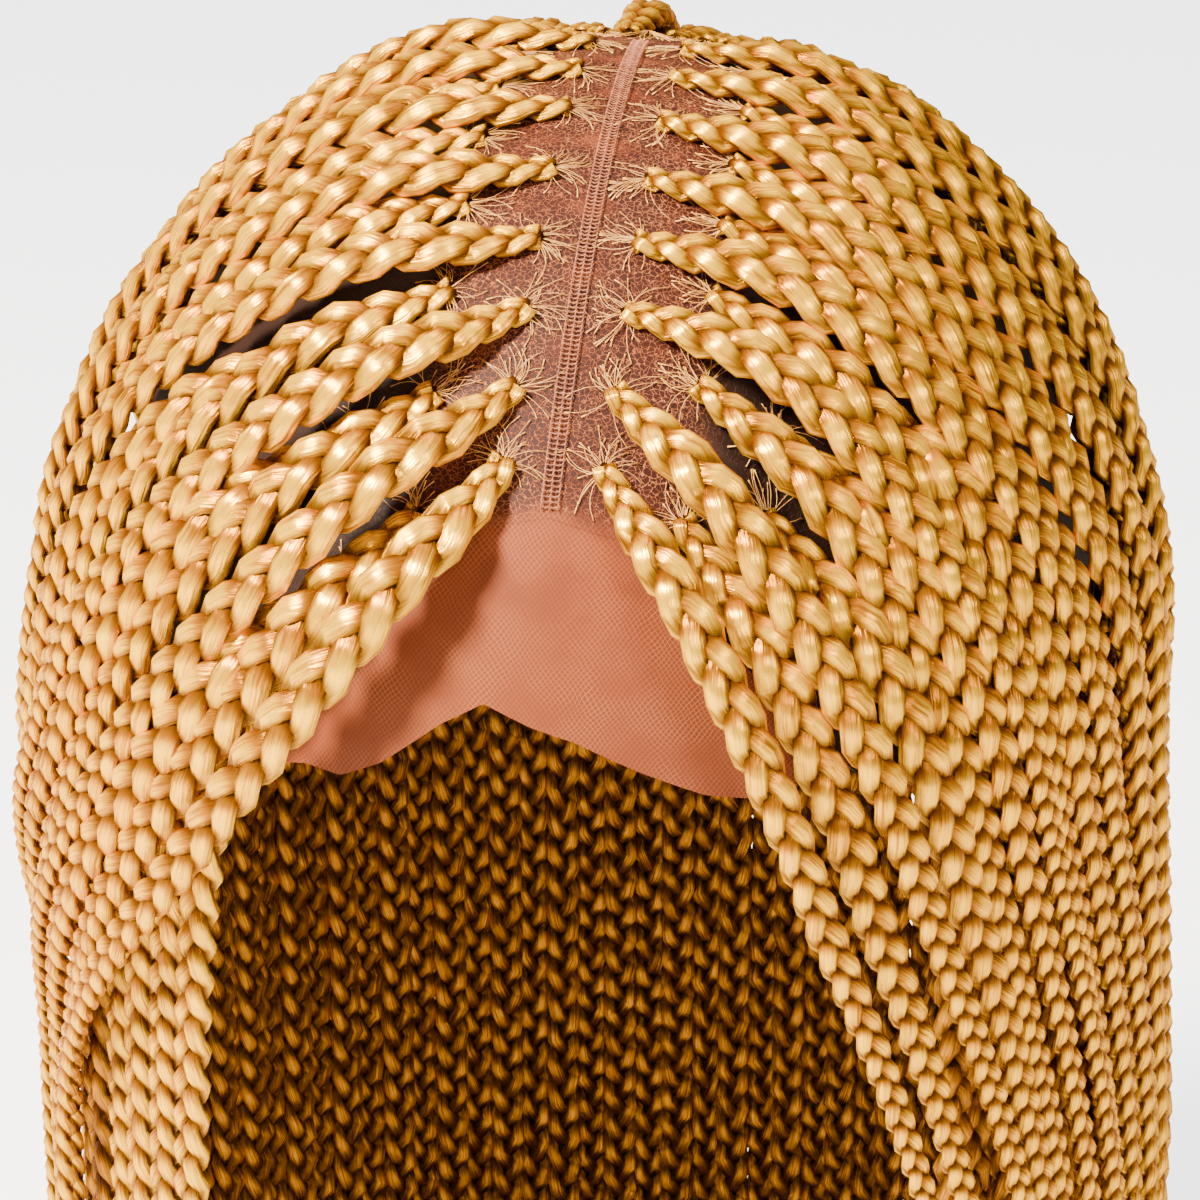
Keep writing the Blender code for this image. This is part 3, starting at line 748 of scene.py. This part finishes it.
def net_material(name, ground, ground_dark, free_lace, thread, thread_dark, shade_under_plaits):
    """Swiss lace, a fine warp-knitted net, over a close brown ground.

    To the eye: pale pinkish threads in small slanting cells, tangled into curls round the roots.
    """
    nodes = Nodes(bpy.data.materials.new(name), "Principled BSDF")
    ground, ground_dark, free_lace, thread, thread_dark, shade_under_plaits = (
        linear(colour) for colour in (ground, ground_dark, free_lace, thread, thread_dark, shade_under_plaits)
    )
    uv = nodes.add("UVMap", {})
    tangle = nodes.add("Attribute", {}, "Fac", attribute_name="tangle")
    shade = nodes.add("Attribute", {}, "Fac", attribute_name="shade")
    # places on the net in millimetres
    scaled = nodes.add("VectorMath", {0: uv, "Scale": 1.0 / MM}, operation="SCALE")
    # the net is pulled a little out of true: up to half a cell over a few cells
    drift = nodes.add("TexNoise", {"Vector": scaled, "Scale": 0.16, "Detail": 2.0}, "Color")
    drift = nodes.add("VectorMath", {0: drift, 1: (0.5, 0.5, 0.5)}, operation="SUBTRACT")
    drift = nodes.add("VectorMath", {0: drift, "Scale": 1.6}, operation="SCALE")
    bent = nodes.add("VectorMath", {0: scaled, 1: drift}, operation="ADD")
    bent_side = nodes.add("SeparateXYZ", {0: bent})
    bent_along = bent_side.node.outputs["Y"]
    # cells 0.85 mm across, so the slanting threads are 0.62 mm apart
    near = 1.0
    for slant in (0.8, -0.8):
        line = nodes.add("Math", {0: bent_along, 1: slant, 2: bent_side}, operation="MULTIPLY_ADD")
        line = nodes.add("Math", {0: line, 1: 1.36}, operation="MULTIPLY")
        part = nodes.add("Math", {0: line}, operation="FRACT")
        off_middle = nodes.add("Math", {0: part, 1: 0.5}, operation="SUBTRACT")
        off_middle = nodes.add("Math", {0: off_middle}, operation="ABSOLUTE")
        away = nodes.add("Math", {0: 0.5, 1: off_middle}, operation="SUBTRACT")
        near = nodes.add("Math", {0: near, 1: away}, operation="MINIMUM")
    net = nodes.add(
        "MapRange",
        {"Value": near, "From Min": 0.02, "From Max": 0.11, "To Min": 1.0, "To Max": 0.0},
        interpolation_type="SMOOTHSTEP",
    )
    # curls round the roots: edges of warped cells about 1 mm across
    curl = nodes.add("TexNoise", {"Vector": scaled, "Scale": 0.9, "Detail": 2.0}, "Color")
    curl = nodes.add("VectorMath", {0: curl, "Scale": 1.3}, operation="SCALE")
    curled = nodes.add("VectorMath", {0: scaled, 1: curl}, operation="ADD")
    edge = nodes.add("TexVoronoi", {"Vector": curled, "Scale": 1.25}, "Distance", feature="DISTANCE_TO_EDGE")
    loops = nodes.add(
        "MapRange",
        {"Value": edge, "From Min": 0.015, "From Max": 0.075, "To Min": 1.0, "To Max": 0.0},
        interpolation_type="SMOOTHSTEP",
    )
    curly = nodes.add(
        "MapRange", {"Value": tangle, "From Min": 0.25, "From Max": 0.6}, interpolation_type="SMOOTHSTEP"
    )
    line = nodes.add("Mix", {0: curly, 2: net, 3: loops}, data_type="FLOAT")
    # the ground is darker round the roots and in wide patches
    patch = nodes.add("TexNoise", {"Vector": scaled, "Scale": 0.09, "Detail": 3.0}, "Fac")
    close = nodes.add(
        "MapRange", {"Value": tangle, "From Min": 0.05, "From Max": 0.8}, interpolation_type="SMOOTHSTEP"
    )
    below = nodes.add("Mix", {0: close, 6: ground, 7: ground_dark}, 2, data_type="RGBA")
    blot = nodes.add(
        "MapRange",
        {"Value": patch, "From Min": 0.45, "From Max": 0.62, "To Max": 0.35},
        interpolation_type="SMOOTHSTEP",
    )
    below = nodes.add("Mix", {0: blot, 6: below, 7: ground_dark}, 2, data_type="RGBA")
    # the ground grows pale in the free lace, 84 to 120 mm down from the crown along the middle line
    down = nodes.add("SeparateXYZ", {0: uv}, "Y")
    free = nodes.add(
        "MapRange",
        {"Value": down, "From Min": 84.0 * MM, "From Max": 120.0 * MM},
        interpolation_type="SMOOTHSTEP",
    )
    below = nodes.add("Mix", {0: free, 6: below, 7: free_lace}, 2, data_type="RGBA")
    worn = nodes.add(
        "MapRange", {"Value": patch, "From Min": 0.35, "From Max": 0.65}, interpolation_type="SMOOTHSTEP"
    )
    above = nodes.add("Mix", {0: worn, 6: thread, 7: thread_dark}, 2, data_type="RGBA")
    threaded = nodes.add("Math", {0: line, 1: 0.85}, operation="MULTIPLY")
    colour = nodes.add("Mix", {0: threaded, 6: below, 7: above}, 2, data_type="RGBA")
    # painted shade: under the plaits the net is painted the near-black shade colour
    hidden = nodes.add("Math", {0: shade, 1: 0.97}, operation="MULTIPLY")
    return nodes.finish({
        "Base Color": nodes.add("Mix", {0: hidden, 6: colour, 7: shade_under_plaits}, 2, data_type="RGBA"),
        "Roughness": 0.62,
        "Normal": nodes.add("Bump", {"Height": line, "Strength": 0.6, "Distance": 0.15 * MM}),
        "Specular IOR Level": 0.2,
    })


def plain_material(name, colour_a, colour_b, scale, roughness, bump_depth):
    """Spun thread: two close shades in fine patches, matt and slightly furred."""
    nodes = Nodes(bpy.data.materials.new(name), "Principled BSDF")
    where = nodes.add("TexCoord", {}, "Object")
    patch = nodes.add("TexNoise", {"Vector": where, "Scale": scale, "Detail": 3.0}, "Fac")
    share = nodes.add(
        "MapRange", {"Value": patch, "From Min": 0.35, "From Max": 0.65}, interpolation_type="SMOOTHSTEP"
    )
    shades = {0: share, 6: linear(colour_a), 7: linear(colour_b)}
    return nodes.finish({
        "Base Color": nodes.add("Mix", shades, 2, data_type="RGBA"),
        "Roughness": roughness,
        "Normal": nodes.add("Bump", {"Height": patch, "Strength": 0.4, "Distance": bump_depth}),
    })


# Settings

class WigSizes(bpy.types.PropertyGroup):
    """Sizes that a user would change."""

    half_width: bpy.props.FloatProperty(
        name="Plait half width",
        description="Half the width of a plait between its root and its end",
        default=4.1 * MM,
        unit="LENGTH",
    )
    period: bpy.props.FloatProperty(
        name="Plait period",
        description="Length in which a strand comes back to the same side of its plait",
        default=21.0 * MM,
        unit="LENGTH",
    )
    root_hairs: bpy.props.IntProperty(
        name="Hairs at a root",
        description="Loose hairs that spread from each root over the net",
        default=26,
    )
    root_hair_length: bpy.props.FloatProperty(
        name="Root hair length",
        description="Length of the loose hairs at a root",
        default=6.6 * MM,
        unit="LENGTH",
    )


class WigColours(bpy.types.PropertyGroup):
    """Colours that a user would change."""

    # the light colour serves the fibres' own lighter tone and the painted highlight along each lobe
    hair_light: bpy.props.StringProperty(
        name="Hair light", description="sRGB hex of the brightest fibres", default="#FFC014"
    )
    hair_middle: bpy.props.StringProperty(
        name="Hair middle", description="sRGB hex of most fibres", default="#C47A0C"
    )
    # the dark colour serves the thin lines between fibres and the painted shade in the folds between the
    # lobes
    hair_dark_lines_and_shade: bpy.props.StringProperty(
        name="Hair dark", description="sRGB hex of the fibres between the lobes", default="#582A00"
    )
    # the deep colour is painted shade on the strands' hidden sides
    hair_deep_shade: bpy.props.StringProperty(
        name="Hair deep", description="sRGB hex of the strands' hidden sides", default="#1C0700"
    )


# Pieces

def main_hair():
    """The outer plaits' material, made once."""
    colours = bpy.context.scene.wig_colours
    name = "synthetic_fibre_plaited"
    return bpy.data.materials.get(name) or hair_material(
        name, colours.hair_light, colours.hair_middle, colours.hair_dark_lines_and_shade, colours.hair_deep_shade
    )


def settle(obj, slot, *nodes):
    """A piece rides on the only body and stands for its CAD nodes; its slot is not used."""
    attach(obj, "root")
    if nodes:
        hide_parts(*nodes)


def side_guides(side, fan, rows):
    """Guides, start and row of every outer plait of one side, from the front opening back.

    A second-row plait starts out between its first-row neighbours, nearer to the one behind, and then
    goes to its own place in the fan.
    """
    found = []
    first_row = [place for place, row in enumerate(rows) if row == 1]
    for place, row in enumerate(rows):
        guides = fan_curve(side, place, fan)
        if row == 2:
            before = max(p for p in first_row if p < place)
            after = min([p for p in first_row if p > place] or [place + 1])
            between_them = before + ROW_TWO_SHARE * (after - before)
            guides[0] = fan_curve(side, between_them, fan)[0]
            bend = (1.0 - ROW_TWO_BEND) * place + ROW_TWO_BEND * between_them
            guides[1] = fan_curve(side, bend, fan)[1]
        elif row == 3:
            guides[1] = fan_curve(side, place + ROW_THREE_SHIFT, fan)[1]
        found.append((guides, row_start(guides, row), row))
    return found


def varied_plait(surface, line, rng, wider, vary, detail, slim):
    """A plait whose width, period, phase and tone differ a little from those of the next one."""
    sizes = bpy.context.scene.wig_sizes
    widths, periods = vary
    half_width = wider * sizes.half_width * rng.uniform(*widths)
    period = wider * sizes.period * rng.uniform(*periods)
    phase = rng.uniform()
    tone = rng.uniform(0.0, TONE_SPAN)
    plait(surface, line, half_width, period, phase, tone, detail, slim)


def make_one(name, line, seed, wider, slim, node):
    """One plait as one piece."""
    surface = Surface()
    varied_plait(surface, line, np.random.default_rng(seed), wider, VARY, FINE, slim)
    settle(surface.build(name, main_hair()), "braided_hair", node)


class WIG_OT_camera(bpy.types.Operator):
    """Camera in front of the wig, a little above it and to its right."""

    bl_idname = "wig.camera"
    bl_label = "Camera"

    def execute(self, context):
        azimuth = math.radians(CAMERA_AZIMUTH_DEG)
        raise_by = math.radians(CAMERA_RAISE_DEG)
        target = np.array(CAMERA_TARGET)
        back = np.array((
            math.sin(azimuth) * math.cos(raise_by),
            -math.cos(azimuth) * math.cos(raise_by),
            math.sin(raise_by),
        ))
        data = bpy.data.cameras.new("photo_camera")
        data.lens = CAMERA_LENS
        data.sensor_width = SENSOR_WIDTH
        data.clip_start = CLIP_START
        camera = bpy.data.objects.new("photo_camera", data)
        camera.location = target + back * CAMERA_DISTANCE
        camera.rotation_euler = (math.pi / 2 - raise_by, 0.0, azimuth)
        context.collection.objects.link(camera)
        context.scene.camera = camera
        return {"FINISHED"}


class WIG_OT_side_plaits(bpy.types.Operator):
    """Outer plaits of both sides, from the front opening back."""

    bl_idname = "wig.side_plaits"
    bl_label = "Side plaits"

    def execute(self, context):
        for side, label, fan, rows in (
            (1, "right", FAN_RIGHT, ROW_OF_PLACE_RIGHT),
            (-1, "left", FAN_LEFT, ROW_OF_PLACE_LEFT),
        ):
            for place, (guides, start, row) in enumerate(side_guides(side, fan, rows)):
                line = route(guides, start, LEVEL_OF_ROW[row], False)
                name = "%s_%02d" % (label, place + 1)
                wider = float(between(WIDER_COLUMNS, WIDER, place, label))
                slim = float(between(WIDER_COLUMNS, WIDER, place, "slim"))
                make_one("plait_" + name, line, SEED_SIDES[side] + place, wider, slim, "braid_" + name)
        return {"FINISHED"}


class WIG_OT_inner_plaits(bpy.types.Operator):
    """Plaits that hang straight inside the left ones, and the one at the middle of the back."""

    bl_idname = "wig.inner_plaits"
    bl_label = "Inner and middle plaits"

    def execute(self, context):
        for i, hang in enumerate(INNER_LEFT):
            guides = np.array((
                rays(INNER_ROOT_DOWN_DEG, -(INNER_ROOT_SIDE_DEG + INNER_ROOT_STEP_DEG * i)),
                rays(INNER_BEND_DOWN_DEG, -(hang - INNER_BEND_LEAD_DEG)),
                rays(HANG_DOWN_DEG - HANG_LEAD_DEG, -hang),
                rays(HANG_DOWN_DEG, -hang),
            ))
            line = route(guides, 0.0, 0.0, True)
            name = "inner_%02d" % (i + 1)
            make_one("plait_" + name, line, SEED_INNER + i, BACK_WIDER, SLIM_BACK, "braid_" + name)
        guides = fan_curve(1, BACK_MIDDLE_PLACE, FAN_RIGHT)
        guides[0, 0] += MIDDLE_ROOT_SIDE / CAP_HALF[0]
        guides[0] = unit(guides[0])
        line = route(guides, 0.0, MIDDLE_BRAID_LEVEL, False)
        make_one("plait_back", line, SEED_MIDDLE, BACK_WIDER, SLIM_BACK, "braid_back")
        return {"FINISHED"}


class WIG_OT_back_plaits(bpy.types.Operator):
    """Plaits of both halves of the back, in place of the two ribbed walls."""

    bl_idname = "wig.back_plaits"
    bl_label = "Back plaits"

    def execute(self, context):
        for side, label, fan in ((1, "right", FAN_RIGHT), (-1, "left", FAN_LEFT)):
            rng = np.random.default_rng(SEED_BACKS[side])
            surface = Surface()
            for i, place in enumerate(range(BACK_PLACE_FIRST, BACK_PLACE_LAST + 1)):
                guides = fan_curve(side, place, fan)
                start = BACK_ROOT_SHARES[i % len(BACK_ROOT_SHARES)]
                line = route(guides, start, BACK_LEVELS[i % len(BACK_LEVELS)], False)
                varied_plait(surface, line, rng, BACK_WIDER, VARY_BACK, MIDDLING, SLIM_BACK)
            settle(surface.build("plaits_back_%s" % label, main_hair()), "braided_hair", "back_%s" % label)
        return {"FINISHED"}


class WIG_OT_under_plaits(bpy.types.Operator):
    """Plaits of the inner layers, seen in the gaps and through the front opening."""

    bl_idname = "wig.under_plaits"
    bl_label = "Inner layers"

    def execute(self, context):
        # the inner layers take a darker copy of the plaits' colours: painted shade for hair lying under the
        # outer plaits
        material = hair_material("synthetic_fibre_inner_shaded", "#C88410", "#844A04", "#3E1A00", "#120400")
        for name, first, last, plaits in INNER_LAYERS:
            rng = np.random.default_rng(SEED_LAYERS + plaits)
            surface = Surface()
            for i, turn in enumerate(np.linspace(first, last, plaits)):
                line = layer_route(float(turn), INNER_LEVELS[i % len(INNER_LEVELS)])
                varied_plait(surface, line, rng, BACK_WIDER, VARY_LAYER, COARSE, 0.0)
            settle(surface.build("plaits_" + name, material), "inner_hair", name)
        return {"FINISHED"}


def root_places():
    """Root points, outward normals and leaving directions of all plaits that start on the cap."""
    found = []
    for side, fan, rows in ((1, FAN_RIGHT, ROW_OF_PLACE_RIGHT), (-1, FAN_LEFT, ROW_OF_PLACE_LEFT)):
        found += [(guides, start) for guides, start, _ in side_guides(side, fan, rows)]
        for i, place in enumerate(range(BACK_PLACE_FIRST, BACK_PLACE_LAST + 1)):
            found.append((fan_curve(side, place, fan), BACK_ROOT_SHARES[i % len(BACK_ROOT_SHARES)]))
    found.append((fan_curve(1, BACK_MIDDLE_PLACE, FAN_RIGHT), 0.0))
    points, normals, ahead = [], [], []
    for guides, start in found:
        ray = on_curve(guides, np.array((start, start + LEAVING_STEP)))
        at = cap_points(ray, np.zeros(2))
        out = unit(cap_points(ray[0], MM) - at[0])
        points.append(at[0])
        normals.append(out)
        ahead.append(unit(at[1] - at[0]))
    return np.array(points), np.array(normals), np.array(ahead)


def net_fields(ray, roots, seen):
    """Values of net points, in the last axis: two UVs in metres, tangle and shade.

    The UVs are the ways from the middle line and along it. The tangle is 1 at a root and falls to 0 at
    some way off. The shade is 0 within the distance seen of the middle line and 1 under the plaits.
    """
    points = cap_points(ray, np.zeros(ray.shape[:-1]))
    side = np.arctan2(ray[..., 0], np.hypot(ray[..., 1], ray[..., 2])) * CAP_HALF[0]
    along = np.arctan2(-ray[..., 1], ray[..., 2]) * CAP_HALF[2]
    flat = points.reshape(-1, 1, 3)
    near = np.min(np.linalg.norm(flat - roots[None], axis=2), axis=1).reshape(points.shape[:-1])
    tangle = 1.0 - smooth((near - TANGLE_FULL) / TANGLE_FADE)
    shade = smooth((np.abs(side) - seen) / NET_FADE)
    return np.stack((side, along, tangle, shade), axis=-1)


def closed_cloth(surface, ray, roots, wrap, seen):
    """Cloth one wall thick on the cap: an outer and an inner grid, joined round their edges."""
    fields = net_fields(ray, roots, seen)
    outer = cap_points(ray, np.zeros(ray.shape[:-1]))
    inner = cap_points(ray, np.full(ray.shape[:-1], -CAP_WALL))
    if wrap:
        outer, inner, fields = (np.concatenate((rows, rows[:, :1]), 1) for rows in (outer, inner, fields))
    faces = [
        (outer[::-1], fields[::-1]),
        (inner, fields),
        (np.stack((inner[-1], outer[-1])), fields[-1]),
    ]
    if not wrap:
        faces.append((np.stack((outer[0], inner[0])), fields[0]))
        faces.append((np.stack((outer[::-1, 0], inner[::-1, 0])), fields[::-1, 0]))
        faces.append((np.stack((outer[:, -1], inner[:, -1])), fields[:, -1]))
    for points, values in faces:
        values = np.broadcast_to(values, points.shape[:2] + values.shape[-1:])
        surface.add_grid(points, values[..., :2], {"tangle": values[..., 2], "shade": values[..., 3]}, False)


class WIG_OT_net(bpy.types.Operator):
    """Cap and lace front, as smooth walls of the part's thickness with their net."""

    bl_idname = "wig.net"
    bl_label = "Cap and lace"

    def execute(self, context):
        roots, _, _ = root_places()
        # the last colour is the painted shade of the net under the plaits
        net = net_material(
            "lace_net_knitted", "#6E2C0E", "#2E0C03", "#6A2F13", "#A6623A", "#844220", "#1C0A02"
        )
        turn = np.linspace(-180.0, 180.0, CAP_COLUMNS, endpoint=False)
        rim = between(RIM_COLUMNS, CAP_RIM, np.abs(turn), "down")
        share = np.linspace(0.0, 1.0, CAP_ROWS)[:, None]
        down = GRID_GAP_DEG + (rim - GRID_GAP_DEG) * share
        ray = rays(down, turn)
        surface = Surface()
        closed_cloth(surface, ray, roots, True, NET_SEEN)
        settle(surface.build("cap_net", net), "cap_net", "cap")
        turn = np.linspace(-LACE_SIDE_DEG, LACE_SIDE_DEG, LACE_COLUMNS)
        top = between(RIM_COLUMNS, CAP_RIM, np.abs(turn), "down") + GRID_GAP_DEG
        cut = between(RIM_COLUMNS, LACE_CUT, turn, "down")
        share = np.linspace(0.0, 1.0, LACE_ROWS)[:, None]
        down = top + (cut - top) * share
        ray = rays(down, turn)
        surface = Surface()
        closed_cloth(surface, ray, roots, False, LACE_SEEN)
        lace = surface.build("lace_cloth", net)
        settle(lace, "lace_net", "lace_front")
        return {"FINISHED"}


class WIG_OT_seam(bpy.types.Operator):
    """Ladder of stitches along the parting."""

    bl_idname = "wig.seam"
    bl_label = "Parting seam"

    def execute(self, context):
        material = plain_material("seam_thread_spun", "#AC6A48", "#7C4228", 1400.0, 0.7, 0.1 * MM)
        surface = Surface()
        rng = np.random.default_rng(SEED_SEAM)
        across = np.linspace(-1.0, 1.0, RUNG_POINTS)
        height = PIECE_GAP + RUNG_LIFT * (1.0 + np.cos(across * math.pi * 2.0))
        radius = np.full(RUNG_POINTS, RUNG_RADIUS)
        for i in range(RUNGS):
            angle = SEAM_FRONT_DEG + (SEAM_BACK_DEG - SEAM_FRONT_DEG) * (i + 0.5) / RUNGS
            base = rays(abs(angle), 0.0 if angle >= 0 else 180.0)
            sideways = across * RUNG_HALF / CAP_HALF[0]
            bend = RUNG_SLANT * rng.uniform(-1, 1) * across + RUNG_WAVE * np.cos(across * RUNG_WAVE_TURN)
            ray = np.stack((sideways, base[1] + bend / CAP_HALF[1], np.full(RUNG_POINTS, base[2])), axis=-1)
            points = cap_points(unit(ray), height)
            _, side, out = frames_along(points, unit(points - CAP_CENTRE))
            tube(surface, points, side, out, radius, radius, THREAD_SIDES, 0.0)
        angle = np.linspace(SEAM_FRONT_DEG, SEAM_BACK_DEG, SEAM_LINE_POINTS)
        wave = SEAM_LINE_WAVE * np.sin(np.arange(SEAM_LINE_POINTS) * SEAM_LINE_TURN)
        height = np.full(SEAM_LINE_POINTS, PIECE_GAP + SEAM_LINE_LIFT)
        radius = np.full(SEAM_LINE_POINTS, SEAM_LINE_RADIUS)
        for x in SEAM_LINES:
            base = rays(np.abs(angle), np.where(angle >= 0, 0.0, 180.0))
            base[:, 0] = (x + wave) / CAP_HALF[0]
            points = cap_points(unit(base), height)
            _, side, out = frames_along(points, unit(points - CAP_CENTRE))
            tube(surface, points, side, out, radius, radius, THREAD_SIDES, 0.0)
        settle(surface.build("seam_ladder", material), "seam_thread", "part_seam")
        return {"FINISHED"}


class WIG_OT_root_hairs(bpy.types.Operator):
    """Loose hairs spreading from each root over the net, each with a tiny knot at its end."""

    bl_idname = "wig.root_hairs"
    bl_label = "Root hairs"

    def execute(self, context):
        sizes = context.scene.wig_sizes
        material = plain_material("root_hair_fibre", "#F0B660", "#C88838", 900.0, 0.45, 0.05 * MM)
        roots, normals, ahead = root_places()
        rng = np.random.default_rng(SEED_ROOT_HAIRS)
        surface = Surface()
        share = np.linspace(0.0, 1.0, ROOT_HAIR_POINTS)
        radius = ROOT_HAIR_RADIUS * (1.0 - ROOT_HAIR_THINNING * share)
        radius[-1] = KNOT_RADIUS
        for root, normal, forward in zip(roots, normals, ahead):
            sideways = np.cross(normal, forward)
            for _ in range(sizes.root_hairs):
                spread = rng.normal(math.pi, ROOT_HAIR_SPREAD)
                reach = sizes.root_hair_length * rng.uniform(*ROOT_HAIR_REACH)
                heading = spread + rng.uniform(-ROOT_HAIR_CURL, ROOT_HAIR_CURL) * share
                way = forward * np.cos(heading)[:, None] + sideways * np.sin(heading)[:, None]
                flat = root + forward * ROOT_HAIR_AHEAD + way * (reach * share)[:, None]
                ray = unit(lean_back(flat - CAP_CENTRE) / CAP_HALF)
                arch = ROOT_HAIR_ARCH * rng.uniform() * np.sin(share * math.pi)
                points = cap_points(ray, ROOT_HAIR_LOW + ROOT_HAIR_HIGH * (1.0 - share) ** 2 + arch)
                _, side, out = frames_along(points, np.repeat(normal[None], ROOT_HAIR_POINTS, axis=0))
                tone = rng.uniform(0.0, 9.0)
                tube(surface, points, side, out, radius, radius, ROOT_HAIR_SIDES, tone)
        settle(surface.build("root_hairs", material), "braided_hair")
        return {"FINISHED"}


class WIG_OT_stage(bpy.types.Operator):
    """Plain pale floor and plain soft light."""

    bl_idname = "wig.stage"
    bl_label = "Stage"

    def execute(self, context):
        mesh = bpy.data.meshes.new("floor")
        corners = [(x * FLOOR_HALF, y * FLOOR_HALF, FLOOR_Z) for x, y in ((-1, -1), (1, -1), (1, 1), (-1, 1))]
        mesh.from_pydata(corners, [], [(0, 1, 2, 3)])
        nodes = Nodes(bpy.data.materials.new("floor_pale"), "Principled BSDF")
        # the glow is seen by the camera only, so that it doesn't light the hair from below
        seen = nodes.add("LightPath", {}, "Is Camera Ray")
        mesh.materials.append(nodes.finish({
            "Base Color": linear(FLOOR_COLOUR),
            "Roughness": 0.9,
            "Emission Color": linear(BACKDROP_COLOUR),
            "Emission Strength": nodes.add("Math", {0: seen, 1: FLOOR_GLOW}, operation="MULTIPLY"),
        }))
        floor = bpy.data.objects.new("floor", mesh)
        context.collection.objects.link(floor)
        # the backdrop is as pale as the floor, and lights the hair only a little
        nodes = Nodes(bpy.data.worlds.new("studio"), "Background")
        seen = nodes.add("LightPath", {}, "Is Camera Ray")
        reach = {"Value": seen, "To Min": BACKDROP_LIGHTING, "To Max": BACKDROP_SEEN}
        strength = nodes.add("MapRange", reach)
        context.scene.world = nodes.finish({"Color": linear(BACKDROP_COLOUR), "Strength": strength})
        for name, at, size, power in LIGHTS:
            data = bpy.data.lights.new(name, "AREA")
            data.size = size
            data.energy = power
            data.color = linear(LIGHT_COLOUR)[:3]
            light = bpy.data.objects.new(name, data)
            light.location = at
            away = np.array(at) - np.array(LIGHT_TARGET)
            tilt = math.acos(away[2] / float(np.linalg.norm(away)))
            light.rotation_euler = (tilt, 0.0, math.atan2(away[0], -away[1]))
            context.collection.objects.link(light)
        return {"FINISHED"}


class WIG_PT_panel(bpy.types.Panel):
    """Sidebar panel that lists the sizes, colours and pieces."""

    bl_idname = "WIG_PT_panel"
    bl_label = "Braid wig"
    bl_space_type = "VIEW_3D"
    bl_region_type = "UI"
    bl_category = "Braid wig"

    def draw(self, context):
        for group in (context.scene.wig_sizes, context.scene.wig_colours):
            for name in group.__annotations__:
                self.layout.prop(group, name)
        for operator in OPERATORS:
            self.layout.operator(operator.bl_idname)


OPERATORS = (
    WIG_OT_camera,
    WIG_OT_side_plaits,
    WIG_OT_inner_plaits,
    WIG_OT_back_plaits,
    WIG_OT_under_plaits,
    WIG_OT_net,
    WIG_OT_seam,
    WIG_OT_root_hairs,
    WIG_OT_stage,
)
CLASSES = (WigSizes, WigColours, *OPERATORS, WIG_PT_panel)


def register():
    """Register the settings, the operators and the panel."""
    for item in CLASSES:
        bpy.utils.register_class(item)
    bpy.types.Scene.wig_sizes = bpy.props.PointerProperty(type=WigSizes)
    bpy.types.Scene.wig_colours = bpy.props.PointerProperty(type=WigColours)


def unregister():
    """Take away what register added."""
    del bpy.types.Scene.wig_colours
    del bpy.types.Scene.wig_sizes
    for item in reversed(CLASSES):
        bpy.utils.unregister_class(item)


def main():
    """Make every piece and the stage."""
    register()
    bpy.ops.wig.camera()
    bpy.ops.wig.side_plaits()
    bpy.ops.wig.inner_plaits()
    bpy.ops.wig.back_plaits()
    bpy.ops.wig.under_plaits()
    bpy.ops.wig.net()
    bpy.ops.wig.seam()
    bpy.ops.wig.root_hairs()
    bpy.ops.wig.stage()


if __name__ == "__main__":
    main()
